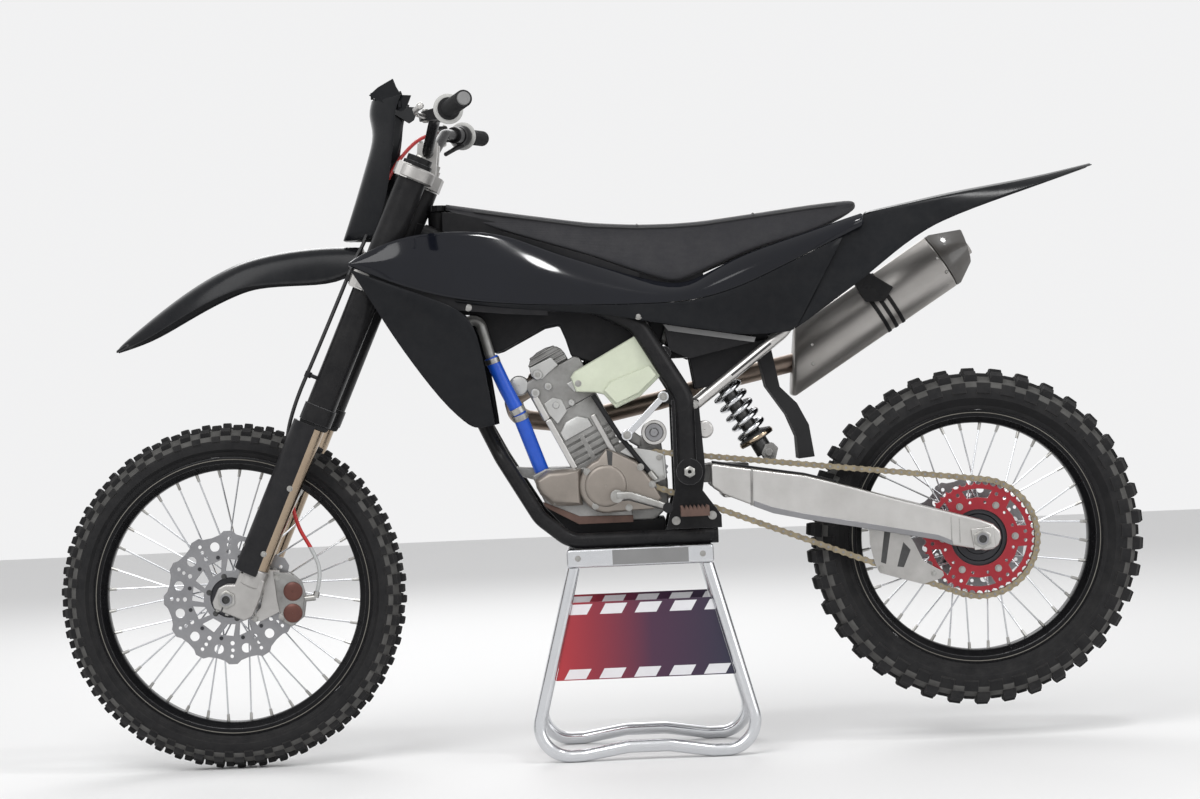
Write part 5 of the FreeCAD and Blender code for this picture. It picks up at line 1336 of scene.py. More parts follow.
# %% Levers
SEAT_AT = BAR_END - OUT * 175
KNUCKLE = SEAT_AT + Vector((30, 0, -6))
perch = [swept([SEAT_AT - OUT * 13, SEAT_AT + OUT * 13], 17.5, 28),
         lofted([[SEAT_AT + Vector((dx, 0, dz)) + OUT * d
                  for dx, dz in ((6, -13), (44, -15), (46, 2), (6, 12))] for d in (-10, 10)])]
piece("lever_perches", sides(perch), "frame", "steering", ("hand_levers",), edge=1.8)
points = [KNUCKLE + Vector(p) for p in ((2, -4, 0), (10, 14, 0), (18, 42, 1), (18, 90, 3),
                                        (8, 130, 4), (4, 158, 4))]
blade = [swept(points, [7, 7.5, 6.4, 5.6, 5.4, 5.0], 16, flat=0.72),
         swept([points[-1] + Vector((0, d, 0)) for d in (-6, -4, 0, 4, 6.5)], [3.5, 6, 7.2, 6, 3],
               16)]
piece("lever_blades", sides(blade), "alloy", "steering", smooth=50)
pivot = [swept([KNUCKLE + Vector((4, 0, -12)), KNUCKLE + Vector((4, 0, 14))], 6, 16)]
piece("lever_pivots", sides(pivot), "bolt", "steering", edge=0.8)
tank_low = SEAT_AT + Vector((30, 0, 4))
cylinder = [lofted([[tank_low + Vector((dx, dy, dz))
                     for dx, dy in ((-14, -20), (16, -20), (16, 18), (-14, 18))]
                    for dz in (0, 15)])]
cylinder.append(swept([SEAT_AT + Vector((27, 24, 3)), SEAT_AT + Vector((27, -22, 3))], 9, 20))
piece("brake_cylinder", mirrored(cylinder), "frame", "steering", edge=2)
screws = []
for dx, dy in ((-8, -14), (10, 12)):
    screws += bolt(tank_low + Vector((dx, dy, 15)), (0, 0, 1), 3, 1.5, washer=False)
outlet = Vector((308, 206, 1277))
banjo = [swept([outlet - Vector((28, -46, -11)).normalized() * 0.3,
                outlet + Vector((-28, 46, 11)).normalized() * 24], 6.5, 16)]
piece("cylinder_screws", mirrored(screws + banjo), "bolt", "steering", edge=0.3)
crown = []
for y in (32, -32):
    for dx in (-13, 13):
        crown += bolt((BAR_CENTRE.x + dx, y, BAR_CENTRE.z + 19.5), (0, 0, 1), 4.5, 5)
piece("bar_clamp_bolts", crown, "bolt", "steering", edge=0.4)
print("levers and clamps in place")

# %% [markdown]
# ## Frame and swingarm
# The black frame and cradle keep their CAD tubes. The bare aluminium swingarm is made again with
# rounded edges. It gets its weld seam, a black chain slider and the two adjuster blocks.

# %% Frame
for name in ("main_frame", "cradle"):
    coat(name, "frame")
coat("subframe", "alloy")
PIVOT = Vector((-180, 0, 558))
plate_bolts = []
for sign in (1, -1):
    for x, z in ((-168, 668), (-196, 690), (-222, 470), (-150, 462)):
        plate_bolts += bolt((x, sign * 98, z), (0, sign, 0), 6.5, 4)
piece("frame_bolts", plate_bolts, "bolt", "chassis", edge=0.5)
# flat dark bars on the subframe are painted shade in its slots
slots = [swept([(-272, 94.2, 744), (-352, 91.8, 804)], 3.4, 10, flat=0.3)]
piece("subframe_slot_shade", sides(slots), "dark_bolt_and_shade", "chassis")
cover_plate = [extruded([(-142, 850), (-322, 817), (-318, 809), (-190, 781), (-150, 800)], 87, 90)]
piece("side_filler", sides(cover_plate), "plastic", "chassis", edge=1)
ledge = [extruded([(-141, 851), (-323, 818), (-319, 808), (-150, 838)], 89.8, 92)]
piece("side_filler_ledge", sides(ledge), "grey_plastic", "chassis", edge=0.6)
print("frame coated")

# %% Swingarm
ARM = [(-222, 573), (-279, 563), (-409, 541), (-506, 513), (-585, 488), (-695, 456), (-749, 440),
       (-773, 430),
       (-786, 416), (-788, 402), (-782, 388), (-771, 380), (-755, 378), (-692, 391), (-664, 403),
       (-503, 436),
       (-405, 455), (-341, 470), (-244, 511), (-222, 526)]
beams = sides([extruded(ARM, 82.5, 117.5)])
beams.append(extruded([(-362, 503), (-244, 503), (-244, 552), (-362, 540)], -84, 84))
piece("swingarm_beams", beams, "alloy", "chassis", ("swingarm",), edge=6)
# a darker steel strip along each arm's lower edge is painted shade in its recess
RECESS_SHADE = [(-692, 390.5), (-664, 402.5), (-503, 435.5), (-405, 454.5), (-341, 469.5), (-303, 485),
        (-303, 497), (-341, 482), (-405, 466), (-503, 447), (-664, 413.5), (-692, 401)]
piece("swingarm_recess_shade", sides([extruded(RECESS_SHADE, 84, 118.2)]), "steel", "chassis", edge=1.5)
links = [extruded([(-300, 534), (-190, 534), (-190, 570), (-300, 570)], y0, y1)
         for y0, y1 in ((36, 58), (-76, -36))]
links.append(bar((PIVOT.x, -76, PIVOT.z), (PIVOT.x, 58, PIVOT.z), 24, 40))
piece("swingarm_root", links, "cast", "chassis", edge=3)
ends = [turned([(4, sign * 117), (4, sign * 122), (8, sign * 122), (12, sign * 120),
                (12, sign * 114), (4, sign * 114)], xz(PIVOT), 6) for sign in (1, -1)]
piece("pivot_bolts", ends, "bolt", "chassis", edge=0.6)
seam = sides([swept([(-303, 117.6, 558), (-302, 119.2, 553), (-300, 119.2, 492),
                     (-299, 117.6, 487)], 2.4, 10)])
for x, top, low in ((-690, 454, 394), (-706, 450, 390)):
    seam += sides([swept([(x, 117.6, top - 6), (x, 118.3, low + 6)], 0.8, 6)])
piece("swingarm_welds", seam, "cast", "chassis")
slider_top = [(-226, 577), (-279, 567.5), (-409, 545), (-470, 528)]
slider = [extruded([*slider_top, (-470, 523), (-409, 538), (-279, 561), (-226, 570)], 58, 96)]
slider.append(extruded([(-226, 575), (-300, 563), (-300, 540), (-262, 536), (-226, 545)], 59, 81))
piece("chain_slider", slider, "plastic", "chassis", edge=1.5)
shape = [(REAR_AXLE.x + x, REAR_AXLE.z + z)
         for x, z in ((-26, -18), (16, -22), (22, 20), (-22, 24))]
blocks = [extruded(shape, sign * 116, sign * 123.5) for sign in (1, -1)]
piece("axle_adjusters", blocks, "alloy", "chassis", edge=2)
# dark discs inside the axle nuts are painted shade in the hollow axle ends
for axle, body, name, y in ((REAR_AXLE, "chassis", "rear_axle_nuts", 124),
                            (FRONT_AXLE, "steering", "front_axle_nuts", 125)):
    rings, dark = [], []
    for sign in (1, -1):
        rings.append(turned([(12.2, sign * y), (12.2, sign * (y + 4)), (17, sign * (y + 4)),
                             (19, sign * (y + 3)), (19, sign * y)], xz(axle), 6))
        dark.append(turned([(0.5, sign * (y + 1)), (0.5, sign * (y + 1.5)), (7.8, sign * (y + 1.5)),
                            (7.8, sign * (y + 1))], xz(axle), 24))
    piece(name, rings, "bolt", body, edge=0.5)
    piece(name.replace("nuts", "hollow_shade"), dark, "dark_bolt_and_shade", body)
tension = [bar(REAR_AXLE + Vector((18, y, 0)), REAR_AXLE + Vector((-36, y, 0)), 4, 12)
           for y in (100, -100)]
piece("adjuster_bolts", tension, "bolt", "chassis")
print("swingarm outline points:", len(ARM))

# %% [markdown]
# ## Engine cases
# The engine is a light cast block with warm grey covers. Its big left cover hides the generator,
# and a smaller crowned cover sits ahead of it. A polished bar links the cases to the frame.

# %% Cases
def arc(start, middle, end):
    """Points on the circle through three side-view points, in 14 steps."""
    steps = 14
    (ax, az), (bx, bz), (cx, cz) = start, middle, end
    d = 2 * (ax * (bz - cz) + bx * (cz - az) + cx * (az - bz))
    a2, b2, c2 = ax * ax + az * az, bx * bx + bz * bz, cx * cx + cz * cz
    ux = (a2 * (bz - cz) + b2 * (cz - az) + c2 * (az - bz)) / d
    uz = (a2 * (cx - bx) + b2 * (ax - cx) + c2 * (bx - ax)) / d
    angles = [math.atan2(z - uz, x - ux) for x, z in (start, middle, end)]
    sweep = (angles[2] - angles[0]) % (2 * math.pi)
    if (angles[1] - angles[0]) % (2 * math.pi) > sweep:
        sweep -= 2 * math.pi
    r = math.hypot(ax - ux, az - uz)
    return [(ux + r * math.cos(angles[0] + sweep * n / steps),
             uz + r * math.sin(angles[0] + sweep * n / steps)) for n in range(steps + 1)]


looks["pale_cast"] = finish("pale_casting", (0.56, 0.56, 0.55), (0.4, 0.4, 0.39), (0.34, 0.5),
                            metallic=0.7, patches=20, grain_scale=900, bump=0.2)
cases = [extruded([(132, 562), (105, 500), (40, 464), (-66, 464), (-66, 575), (104, 575)], -95,
                  71.5),
         extruded([(-60, 464), (-110, 464), (-138, 490), (-138, 540), (-125, 640), (-84, 630),
                   (-78, 575), (-60, 575)], -79, 50),
         extruded([(120, 550), (166, 564), (170, 580), (118, 576)], -29, 29),
         extruded([(-92, 604), (-66, 620), (-53, 636), (-57, 646), (-68, 646), (-92, 628)], 36, 50)]
piece("engine_cases", cases, "cast", "chassis", ("crankcase",), edge=4)
# a reddish-brown strip along the case's lower edge is a painted reflection; its finish is also the
# footpegs' real rust
hull = [extruded([(-66, 462), (42, 462), (108, 499), (112, 510), (40, 478), (-66, 476)], 71.4, 74)]
looks["rust_and_reflection"] = finish("rust_and_reflection_steel", (0.15, 0.09, 0.072), (0.1, 0.065, 0.055), (0.5, 0.7),
                        metallic=0.6, patches=30, grain_scale=600, bump=0.3)
piece("case_edge_reflection", hull, "rust_and_reflection", "chassis", edge=1)
ring = turned([(17.5, 30), (17.5, 82), (19, 84), (24, 84), (25, 82), (25, 30)], (-114, 638), 40)
piece("starter_ring", [ring], "alloy", "chassis", edge=0.5)
cup = turned([(0.5, 30), (0.5, 87), (7, 87), (9, 85), (9, 78.5), (17.4, 78.5), (17.4, 30)],
             (-114, 638), 40)
piece("starter_cap", [cup], "steel", "chassis", edge=0.4)
STAY_FOOT, STAY_TOP = Vector((-60, 0, 635)), Vector((-135, 0, 708))
across_bar = (STAY_TOP - STAY_FOOT).cross(LEFT).normalized() * 6.5
corners = (STAY_FOOT + across_bar, STAY_TOP + across_bar, STAY_TOP - across_bar,
           STAY_FOOT - across_bar)
stay = [extruded([xz(p) for p in corners], 95, 103)]
stay += [bar((p.x, 94, p.z), (p.x, 104, p.z), 11, 32) for p in (STAY_FOOT, STAY_TOP)]
piece("link_bar", stay, "polished", "chassis", edge=1.6)
eye_bolts = [bar((-60, 36, 635), (-60, 105, 635), 6, 20)]
eye_bolts += side_bolts(104, (xz(STAY_FOOT), xz(STAY_TOP)), 6, 3)
piece("link_bolts", eye_bolts, "bolt", "chassis", edge=0.4)
sump = [extruded([(114, 504), (60, 442), (-130, 438), (-130, 468), (40, 468)], -46, 46)]
piece("sump_guard", sump, "plastic", "chassis", edge=3)
print("cases and link bar made")

# %% Covers
BIG = arc((-30, 484), (38, 530), (0, 590))
BIG += [(-17, 610), (-33, 605), (-77, 582), (-104, 546), (-124, 508), (-108, 487)]


def inset(points, by):
    """Outline moved towards its middle by about a distance."""
    cx = sum(x for x, z in points) / len(points)
    cz = sum(z for x, z in points) / len(points)
    moved = []
    for x, z in points:
        far = math.hypot(x - cx, z - cz)
        moved.append((cx + (x - cx) * (1 - by / far), cz + (z - cz) * (1 - by / far)))
    return moved


def domed(points, levels):
    """Cover from (y, inset) levels."""
    return lofted([[(x, y, z) for x, z in inset(points, by)] for y, by in levels])


covers = [domed(BIG, [(78.3, 0), (92, 0), (96, 1.2), (99, 3.6), (100, 6.5)]),
          extruded([(-64, 492), (-30, 486), (34, 530), (2, 588), (-20, 606), (-64, 580)], 72.3, 80)]
covers.append(turned([(0.5, 99), (0.5, 106), (34, 106), (38.5, 104.8), (41, 102), (42.5, 99)],
                     (-14, 537), 56))
covers.append(turned([(4.5, 99), (4.5, 112), (10, 112), (12, 110), (12.5, 99)], (-35, 516), 28))
piece("generator_cover", covers, "bronze", "chassis", ("engine_covers",), edge=0.8)
FRONT_COVER = [(33, 500), (62, 500), (92, 502), (116, 524), (123, 538), (126, 554), (101, 572),
               (66, 573), (33, 573)]
crown = [domed(FRONT_COVER, [(72.3, 0), (84, 0), (88, 2.5), (93, 6), (96, 10), (97, 15)])]
piece("front_cover", crown, "bronze", "chassis", edge=0.8)
CLUTCH = (-30, 545)
rim_places = circle(CLUTCH, 70, 6)
clutch = [turned([(0.5, -95.3), (70, -95.3), (70, -114), (66, -118), (57, -119), (55, -124),
                  (50, -126), (0.5, -126)], CLUTCH, 72)]
clutch += [bar((x, -95.5, z), (x, -112, z), 8, 20) for x, z in rim_places]
piece("clutch_cover", clutch, "bronze", "chassis", edge=1)
screws = side_bolts(99.4, ((-84, 571), (-106, 536), (-113, 498), (-58, 492), (8, 498), (22, 566)),
                    5.4, 3.5)
screws += side_bolts(88, ((44, 508), (88, 510), (112, 552), (46, 566)), 4.6, 3)
for x, z in rim_places:
    screws += bolt((x, -112, z), -LEFT, 5, 2, washer=False)
piece("cover_screws", screws, "bolt", "chassis", edge=0.4)
# a dark strip on the cover's top is painted shade in a hollow
dark = [extruded([(-18, 608), (-30, 603), (-27, 566), (-21, 566)], 98.6, 100.3)]
piece("cover_hollow_shade", dark, "dark_bolt_and_shade", "chassis")
rods = [bar((-101, 86, 560), (-113, 86, 544), 8, 20),
        turned([(0.5, 112), (0.5, 113), (4.4, 113), (4.4, 112)], (-35, 516), 20)]
piece("hose_union", rods, "bolt", "chassis", edge=0.5)
guard = [extruded([(-60, 612), (-106, 603), (-131, 594), (-133, 545), (-112, 538), (-104, 549),
                   (-79, 585), (-45, 602)], 78.3, 80.2)]
guard.append(swept([(-131, 81, 592), (-133, 81, 547)], 3, 10))
piece("sprocket_guard", guard, "pale_cast", "chassis", edge=0.8)
guard_bolts = side_bolts(80, ((-122, 588), (-124, 548), (-70, 604)), 4.5, 3)
piece("sprocket_guard_bolts", guard_bolts, "bolt", "chassis", edge=0.4)
print("covers:", [p.name for p in pieces[-6:]])

# %% [markdown]
# ## Cylinder and head
# The cylinder leans forward. It has four slots between short fins, bright machined rails along
# both edges, and a domed panel above. The head carries a rounded cam cover with ridges.

# %% Cylinder
LEAN = math.radians(26.6)
RISE = Vector((math.sin(LEAN), 0, math.cos(LEAN)))
FORTH = Vector((math.cos(LEAN), 0, -math.sin(LEAN)))
CYLINDER_FOOT = Vector((-5, 0, 590))


def leant(forward, height):
    """Side-view place of a point in the cylinder's own axes."""
    return xz(CYLINDER_FOOT + FORTH * forward + RISE * height)


def leaning(points, y0, y1):
    """Side view in the cylinder's own axes, as (forward, height), from y0 to y1."""
    return extruded([leant(a, h) for a, h in points], y0, y1)


body = [leaning([(-49, 0), (-40, -36), (49, 6), (49, 116), (-49, 116)], -54, 54),
        leaning([(-57, 7), (-57, -15), (-47, -37), (57, 8), (57, 9)], -62, 62)]
body += [leaning([(-57, s0), (57, s0), (57, s1), (-57, s1)], -62, 62)
         for s0, s1 in ((13, 21), (27, 35), (41, 49), (55, 118))]
body.append(leaning([(6, 4), (15, 4), (15, 60), (6, 60)], 50, 63))
piece("cylinder_fins", body, "cast", "chassis", ("cylinder",), edge=1.6)
PANEL = [(-20, 64), (46, 64), (46, 82), (26, 98), (-2, 98), (-20, 82)]
dome = [domed([leant(a, h) for a, h in PANEL], [(58, 0), (63, 0), (66, 2.5), (67.2, 7)])]
piece("cylinder_dome", dome, "pale_cast", "chassis", edge=0.6)
rails = [leaning([(47, 6), (59, 6), (59, 118), (47, 118)], 50, 72),
         leaning([(-35, -6), (-24, -6), (-24, 84), (-35, 84)], 50, 72),
         leaning([(48, 118.3), (60, 118.3), (60, 168), (54, 178), (48, 172)], 60, 72)]
piece("machined_rails", rails, "alloy", "chassis", edge=2.5)
print("fins between four slots")

# %% Head
head = [leaning([(-62, 118.4), (62, 118.4), (62, 196), (54, 204), (-54, 204), (-62, 196)], -65, 65)]
piece("head_casting", head, "cast", "chassis", ("cylinder_head",), edge=4)
COVER = [(-40, 204), (37, 204), (37, 222), (34, 231), (28, 238), (19, 243), (8, 246), (-12, 246),
         (-24, 243), (-33, 237), (-38, 229), (-40, 220)]
cam = [leaning(COVER, -56, 56)]
for s0, s1, half in ((206, 212, 39), (216, 222, 39), (226, 232, 37), (237, 243, 28)):
    cam.append(leaning([(-half - 1, s0), (half - 1, s0), (half - 1, s1), (-half - 1, s1)], -60, 60))
piece("cam_cover", cam, "cast", "chassis", edge=4)
fittings = [turned([(0.5, 18), (0.5, 66), (13, 66), (18, 64), (20, 60), (20, 18)], (150, 742), 36)]
# side-view place, outer face's y and radius; the first three have a plug
BOSSES = ((112, 762, 76, 10), (92, 738, 73, 8), (118, 726, 74, 9), (47, 704, 70, 7),
          (78, 700, 71, 7))
for x, z, y, r in BOSSES:
    fittings.append(turned([(0.5, 60), (0.5, y), (r - 1.5, y), (r, y - 1.5), (r, 60)], (x, z), 24))
piece("head_bosses", fittings, "pale_cast", "chassis", edge=0.6)
plugs = []
for x, z, y, r in BOSSES[:3]:
    plugs += bolt((x, y - 0.5, z), LEFT, r * 0.55, 2, washer=False)
piece("head_plugs", plugs, "bolt", "chassis", edge=0.3)
port = CYLINDER_FOOT + RISE * 160 - FORTH * 60
inlet = Vector((-152, 0, 846))
along = (inlet - port).normalized()
reach = (inlet - port).length
steps = [(0, 26), (28, 26), (34, 30), (110, 30), (113, 25), (reach - 24, 25), (reach - 22, 31),
         (reach, 31)]
throat = [strung([(port + along * d, r) for d, r in steps], 40),
          bar(port + along * 70 + Vector((0, -46, 0)), port + along * 70 + Vector((0, 46, 0)), 13,
              28)]
piece("throttle_throat", throat, "cast", "chassis", ("throttle_body",), edge=1)
pads = [extruded([(102, 704), (84, 716), (66, 711), (56, 688), (76, 662), (94, 684)], 62, 68.5),
        extruded([(128, 776), (84, 796), (70, 780), (88, 766), (104, 752), (124, 758)], 60, 70),
        extruded([(56, 742), (34, 752), (22, 738), (40, 724)], 62, 68)]
piece("head_pads", pads, "pale_cast", "chassis", edge=2)
print("head, cam cover and throttle body made")

# %% [markdown]
# ## Cooling and breathing
# Blue silicone hoses join the radiators to the cylinder with steel clamps. A thin black hose
# vents the milky catch tank.

# %% Hoses and radiators
def behind_tube(distance, z, y=0.0):
    """Point a distance behind the frame's sloping front tube."""
    share = (z - 684) / (1005 - 684)
    return Vector((236 + (388 - 236) * share - distance, y, z))


UPPER = [(202, 93, 800), (176, 88, 738), (150, 82, 684)]
LOWER = bent([(152, 82, 688), (124, 62, 606), (108, 52, 560)], 60)
piece("coolant_tubes", [swept(UPPER, 14, 28), swept(LOWER, 14.5, 28)], "blue", "chassis",
      ("coolant_hoses",))
neck_pipe = bent([(292, 96, 862), (222, 96, 878), (204, 93.5, 806), (198, 91.5, 788)], 18)
piece("radiator_outlet", [swept(neck_pipe, 10, 24)], "cast", "chassis")
bands = []
for path, n in ((UPPER, 1), (LOWER, 0)):
    a, b = Vector(path[n]), Vector(path[n + 1])
    slope = (b - a).normalized()
    start = a + slope * ((b - a).length - 16 if n else 2)
    bands.append(swept([start, start + slope * 12], 16, 28))
top = Vector((201, 93, 798))
bands.append(swept([top, top + Vector((-3, -1, -10))], 15.4, 28))
piece("hose_bands", bands, "bolt", "chassis", edge=0.5)
RADIATOR_LOW, RADIATOR_HIGH, RADIATOR_DEEP = 716, 895, 32


def in_radiator(depth, z, y=0.0):
    """Point a depth behind the radiator's front face, which leans back from the frame's tube."""
    share = (z - RADIATOR_LOW) / (RADIATOR_HIGH - RADIATOR_LOW)
    return behind_tube(-11 + 30 * share + depth, z, y)


tanks, slats = [], []
for z0, z1, front, back in ((RADIATOR_LOW, 735, 0, RADIATOR_DEEP),
                            (876, RADIATOR_HIGH, 0, RADIATOR_DEEP), (736, 875, 28, 30)):
    outline = [xz(in_radiator(d, z)) for d, z in ((back, z0), (front, z0), (front, z1), (back, z1))]
    tanks.append(extruded(outline, 58, 124))
for n in range(16):
    z = 738 + n * 8.6
    slats.append(lofted([[tuple(in_radiator(d, z + h, y))
                          for d, h in ((29, 0), (3, 0), (3, 5), (29, 5))] for y in (60, 122)]))
piece("radiator_tanks", sides(tanks), "frame", "chassis", ("radiators",), edge=3)
piece("radiator_slats", sides(slats), "frame", "chassis")
vent = bent([(4, 84, 717), (-44, 86, 636), (-100.6, 86, 560.6)], 60)
piece("vent_hose", [swept(vent, 5, 16)], "rubber", "chassis", ("breather_hose",))
print("hose points:", len(UPPER) + len(LOWER), "slats:", len(slats))

# %% Catch tank
CATCH = [(47, 754), (37, 725), (1, 722), (-18, 717), (-41, 689), (-89, 710), (-132, 750),
         (-86, 832), (39, 765)]
catch = [domed(CATCH, [(66.6, 3), (68, 0.8), (72, 0), (94, 0), (98, 1.6), (100, 5)])]
ridge = [domed([(-16, 724), (-40, 696), (-90, 716), (-126, 752), (-112, 772), (-30, 742)],
               [(98, 0), (104, 1.5), (107, 5)])]
piece("catch_tank_moulded", [*catch, *ridge], "milky", "chassis", ("catch_tank",),
      edge=1.2)
piece("catch_tank_bolt", side_bolts(99.5, ((32, 741),), 5, 2.5), "bolt", "chassis",
      edge=0.4)
print("catch tank made")

# %% [markdown]
# ## Exhaust
# The header leaves the head's front, turns back along the right side and feeds a many-sided
# silencer with three dark straps round its middle and a tapered cap at its end.

# %% Header and silencer
CAN_FRONT, CAN_REAR = Vector((-419, -146, 765)), Vector((-765, -150, 982))
CAN_ALONG = (CAN_REAR - CAN_FRONT).normalized()
CAN_UP = CAN_ALONG.cross(LEFT).normalized()
CAN_LENGTH = 423
# the can's half-height and half-width, a hair less than what is strapped round it
CAN_HALF = (53.5, 46.5)
# up and out shares of half of the silencer's section, from its foot to its top
RING = ((-1.2, 0.36), (-0.62, 0.8), (0.06, 1.0), (0.62, 0.84), (1.0, 0.42))


def section(distance, tall, wide, slant=0.0):
    """Many-sided ring round the silencer's axis; slant brings its foot forward."""
    half = [CAN_FRONT + CAN_ALONG * (distance - slant * a) + CAN_UP * (tall * a)
            + Vector((0, wide * b, 0)) for a, b in RING]
    return half + [Vector((p.x, 2 * CAN_FRONT.y - p.y, p.z)) for p in reversed(half)]


HEADER = bent([(108, -20, 752), (168, -76, 718), (160, -124, 676), (60, -138, 662),
               (-130, -140, 700), (-290, -138, 742), CAN_FRONT + CAN_ALONG * 10], 38, 8)
header = [swept(HEADER, 19, 28)]
flange = (HEADER[1] - HEADER[0]).normalized()
header.append(swept([HEADER[0] + flange * 2, HEADER[0] + flange * 12], 24, 28))
piece("header_pipe", header, "pipe", "chassis", ("exhaust_pipe",), edge=1)
can = [lofted([section(-14, 44, 38, 34), section(-10, 51, 44, 35), section(-4, *CAN_HALF, 36),
               section(362, *CAN_HALF)])]
piece("silencer_can", can, "titanium", "chassis", ("silencer",), edge=3)
straps = [lofted([section(s, 55.0, 48.0), section(s + 9, 55.0, 48.0)]) for s in (190, 207, 224)]
piece("silencer_straps", straps, "frame", "chassis", edge=2)
cap = [lofted([section(362.3, 54, 47), section(372, *CAN_HALF), section(CAN_LENGTH - 2, 31, 34, 9),
               section(CAN_LENGTH, 29, 32, 9)])]
piece("silencer_cap", cap, "carbon", "chassis", edge=2)
out = CAN_FRONT + CAN_ALONG * CAN_LENGTH
tail = [swept([out - CAN_ALONG * 12, out + CAN_ALONG * 4], 17, 32)]
piece("silencer_outlet", tail, "titanium", "chassis", edge=0.6)
# a dark disc inside the outlet is painted shade in its bore
hole = [swept([out + CAN_ALONG * 3.8, out + CAN_ALONG * 4.4], 14, 32)]
piece("silencer_hollow_shade", hole, "dark_bolt_and_shade", "chassis")
hanger = [extruded([(-528, 940), (-560, 950), (-618, 912), (-600, 884), (-560, 884)], -106, -90)]
piece("silencer_hanger", hanger, "frame", "chassis", edge=2)
rivets = []
for s, a in ((24, 0.3), (44, -0.4), (356, 0.3), (356, -0.4)):
    ring = section(s, *CAN_HALF)
    at = ring[2].lerp(ring[3] if a > 0 else ring[1], 0.5)
    rivets.append(swept([at, at + Vector((0, 2.4, 0))], [4, 2.6], 10))
piece("silencer_rivets", rivets, "bolt", "chassis")
print("silencer length:", CAN_LENGTH)

# %% [markdown]
# ## Shock absorber
# A dark damper body with a bright coil spring between two collars, and a gold adjuster ring.

# %% Shock
SHOCK_TOP, SHOCK_LOW = Vector((-227, 0, 783)), Vector((-346, 0, 572))
DOWN = (SHOCK_LOW - SHOCK_TOP).normalized()
SIDE = DOWN.cross(LEFT)
coil = []
COIL_START, COIL_END, COIL_PITCH, COIL_RADIUS, COIL_STEPS = 37, 178, 22, 29, 28
turns = (COIL_END - COIL_START) / COIL_PITCH
for n in range(round(turns * COIL_STEPS) + 1):
    a = 2 * math.pi * n / COIL_STEPS
    ring = (LEFT * math.cos(a) + SIDE * math.sin(a)) * COIL_RADIUS
    coil.append(SHOCK_TOP + DOWN * (COIL_START + COIL_PITCH * n / COIL_STEPS) + ring)
piece("shock_spring", [swept(coil, 5.5, 12)], "polished", "chassis", ("shock",))
profile = [(0, 18), (8, 20), (20, 20), (21, 34), (24, 36), (31, 36), (32, 24), (60, 24), (62, 16),
           (176, 16), (183, 34), (185, 36), (195, 36), (197, 18), (225, 18)]
damper = strung([(SHOCK_TOP + DOWN * s, r) for s, r in profile], 40)
piece("shock_body", [damper], "dark_bolt_and_shade", "chassis", edge=0.8)
gold_ring = swept([SHOCK_TOP + DOWN * s for s in (186, 188, 192, 194)], [36.2, 37.5, 37.5, 36.2],
                  40)
piece("shock_ring", [gold_ring], "gold", "chassis", edge=0.5)
knob = [turned([(0.5, 60), (0.5, 92), (14, 92), (17.6, 89), (17.6, 60)], (-214, 640), 32)]
piece("linkage_cap", knob, "alloy", "chassis", edge=0.8)
clevis = [extruded([(-336, 604), (-352, 607), (-362, 596), (-356, 574), (-336, 571), (-328, 586)],
                   y0, y1) for y0, y1 in ((18, 26), (-26, -18))]
clevis.append(bar((-343, -34, 588), (-343, 34, 588), 8, 20))
piece("shock_clevis", clevis, "cast", "chassis", edge=1.5)
print("spring turns:", round(turns, 1))

# %% [markdown]
# ## Airbox and fuel tank
# Both are dark moulded boxes that show only through gaps in the bodywork. A rubber flap hangs
# between the shock and the rear wheel.

# %% Boxes
box = lofted([[(x, -w, z0), (x, w, z0), (x, w, z1), (x, -w, z1)] for x, w, z0, z1 in
              ((-150, 54, 812, 880), (-230, 54, 812, 925), (-340, 54, 850, 962))])
piece("airbox_moulded", [box], "plastic", "chassis", ("airbox",), edge=6)
boot = [extruded([(-188, 800), (-360, 816), (-246, 726), (-200, 720)], 40, 52)]
piece("airbox_boot", sides(boot), "plastic", "chassis", edge=3)
flap = extruded([(-315, 850), (-342, 720), (-381, 662), (-399, 617), (-401, 573), (-433, 576),
                 (-424, 640), (-402, 684), (-369, 718), (-345, 850)], -45, 45)
piece("mud_flap", [flap], "rubber", "chassis", edge=0.8)
coat("fuel_tank", "plastic")
# dark sheets on both sides under the tank are painted shade that fills the gap above the engine
BELLY = [(296, 932), (250, 905), (222, 836), (196, 808), (180, 812), (95, 855), (66, 860),
         (54, 830), (44, 796), (-20, 772), (-128, 790), (-146, 850), (-146, 905)]
piece("tank_belly_shade", sides([extruded(BELLY, 47, 61)]), "plastic", "chassis",
      edge=5)
print("boxes made")

# %% [markdown]
# ## Foot controls, chain guide and rear brake
# The footpegs are open serrated frames. The gear lever is forged and tapered, and its tip has a
# ribbed rubber. The chain guide is a slotted plate on the swingarm.

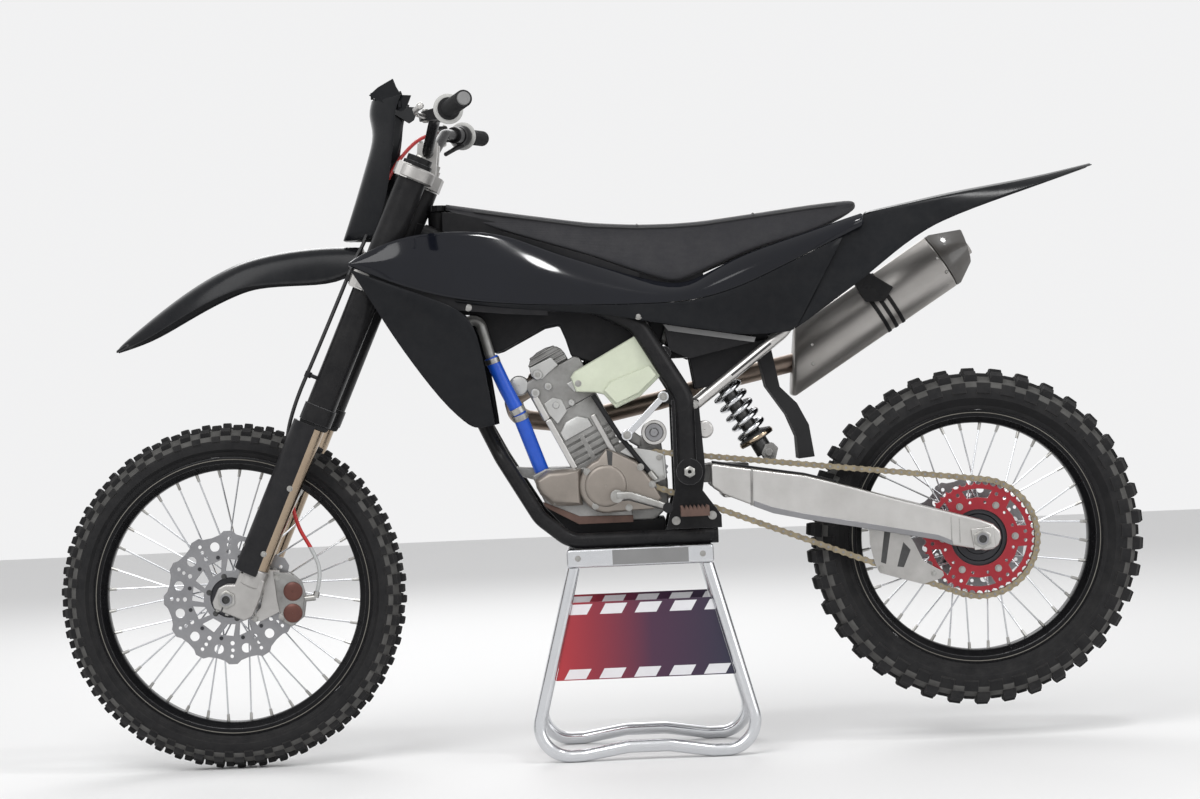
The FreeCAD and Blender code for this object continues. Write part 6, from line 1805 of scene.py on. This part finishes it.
# %% Footpegs and levers
pegs = []
comb = []
for i in range(7):
    comb += [(-214 + 8 * i, 486), (-210 + 8 * i, 494)]
comb = [(-214, 473), *comb, (-158, 486), (-158, 473)]
for y0, y1 in ((116.5, 121), (146, 150), (173, 178)):
    pegs.append(extruded(comb, y0, y1))
for x0 in (-214, -163):
    row = [(118, 473)]
    for i in range(7):
        row += [(120 + 8 * i, 486), (124 + 8 * i, 493)]
    row += [(176, 486), (176, 473)]
    pegs.append(lofted([[(x, y, z) for y, z in row] for x in (x0, x0 + 5)]))
pegs.append(extruded([(-206, 470), (-166, 470), (-166, 484), (-206, 484)], 98.5, 120))
piece("footpeg_frames", sides(pegs), "rust_and_reflection", "chassis", ("footpegs",), edge=0.8)
lever = [swept([(-35, 113, 516), (-35, 128, 516)], 13, 28),
         swept([(-35, 121, 516), (-60, 122, 516), (-92, 124, 505), (-118, 126, 496),
                (-134, 127, 490)], [12, 11, 10, 9, 8.4], 20, flat=0.7),
         swept([(-134, 112, 490), (-134, 122, 490)], 9, 20)]
piece("gear_lever", lever, "bolt", "chassis", ("foot_controls",), edge=0.8)
ribbed = []
for n in range(9):
    ribbed += [((-134, 122 + n * 3.7, 490), 10), ((-134, 124.6 + n * 3.7, 490), 10),
               ((-134, 125 + n * 3.7, 490), 9), ((-134, 125.6 + n * 3.7, 490), 9)]
piece("gear_lever_rubber", [strung(ribbed, 24)], "rubber", "chassis")
pedal = [swept([(-176, -114.5, 522), (-176, -134, 522)], 12, 28),
         swept(bent([(-176, -128, 522), (-60, -134, 462), (30, -134, 486)], 40), 7, 20, flat=0.8),
         extruded([(16, 478), (40, 484), (40, 492), (16, 488)], -116, -152)]
piece("brake_pedal", pedal, "bolt", "chassis", edge=1.5)
print("foot controls made")

# %% Chain guide
GUIDE = [(-532, 450), (-566, 440), (-600, 428), (-612, 412), (-621, 396), (-636, 362), (-655, 350),
         (-674, 339), (-676, 331), (-670, 325), (-634, 315), (-590, 328), (-549, 341), (-540, 360),
         (-532, 400)]
piece("chain_guide_plate", [extruded(GUIDE, 78.2, 81.5)], "forged", "chassis",
      ("chain_guide",), edge=0.8)
# dark sheets on the guide plate are painted shade in its windows
windows = [extruded([(-552, 362), (-562, 358), (-574, 424), (-562, 428)], 81.2, 81.9),
           extruded([(-584, 352), (-597, 350), (-612, 384), (-598, 400)], 81.2, 81.9)]
piece("chain_guide_slot_shade", windows, "dark_bolt_and_shade", "chassis", edge=0.2)
runner = [extruded([(-560, 352), (-634, 326), (-664, 334), (-664, 342), (-634, 338), (-566, 362)],
                   58, 78)]
piece("chain_guide_runner", runner, "plastic", "chassis", edge=1.5)
heads = side_bolts(81.4, ((-544, 436), (-596, 420), (-552, 350), (-656, 336)), 4.5, 3)
piece("chain_guide_bolts", heads, "bolt", "chassis", edge=0.4)
REAR_BODY = [(137.5, 68), (118, 52), (109.5, 40), (109.5, 0), (130, -5), (149.5, -6), (156, 14),
             (159.5, 38)]
body = [extruded(from_axle(REAR_BODY, REAR_AXLE), y0, y1)
        for y0, y1 in ((-81.5, -70), (-58, -44.5))]
body.append(extruded(from_axle([(137.5, 68), (149, 60), (159.5, 38), (154, 10), (147, 12),
                                (150, 36), (134, 60)], REAR_AXLE), -72, -56))
piece("rear_caliper_body", body, "cast", "chassis", ("rear_caliper",), edge=2.5)
print("rear brake made")
# %% [markdown]
# ## Finish
# The script ends by printing how many pieces it made.

# %% Finish
print("pieces made:", len(pieces))
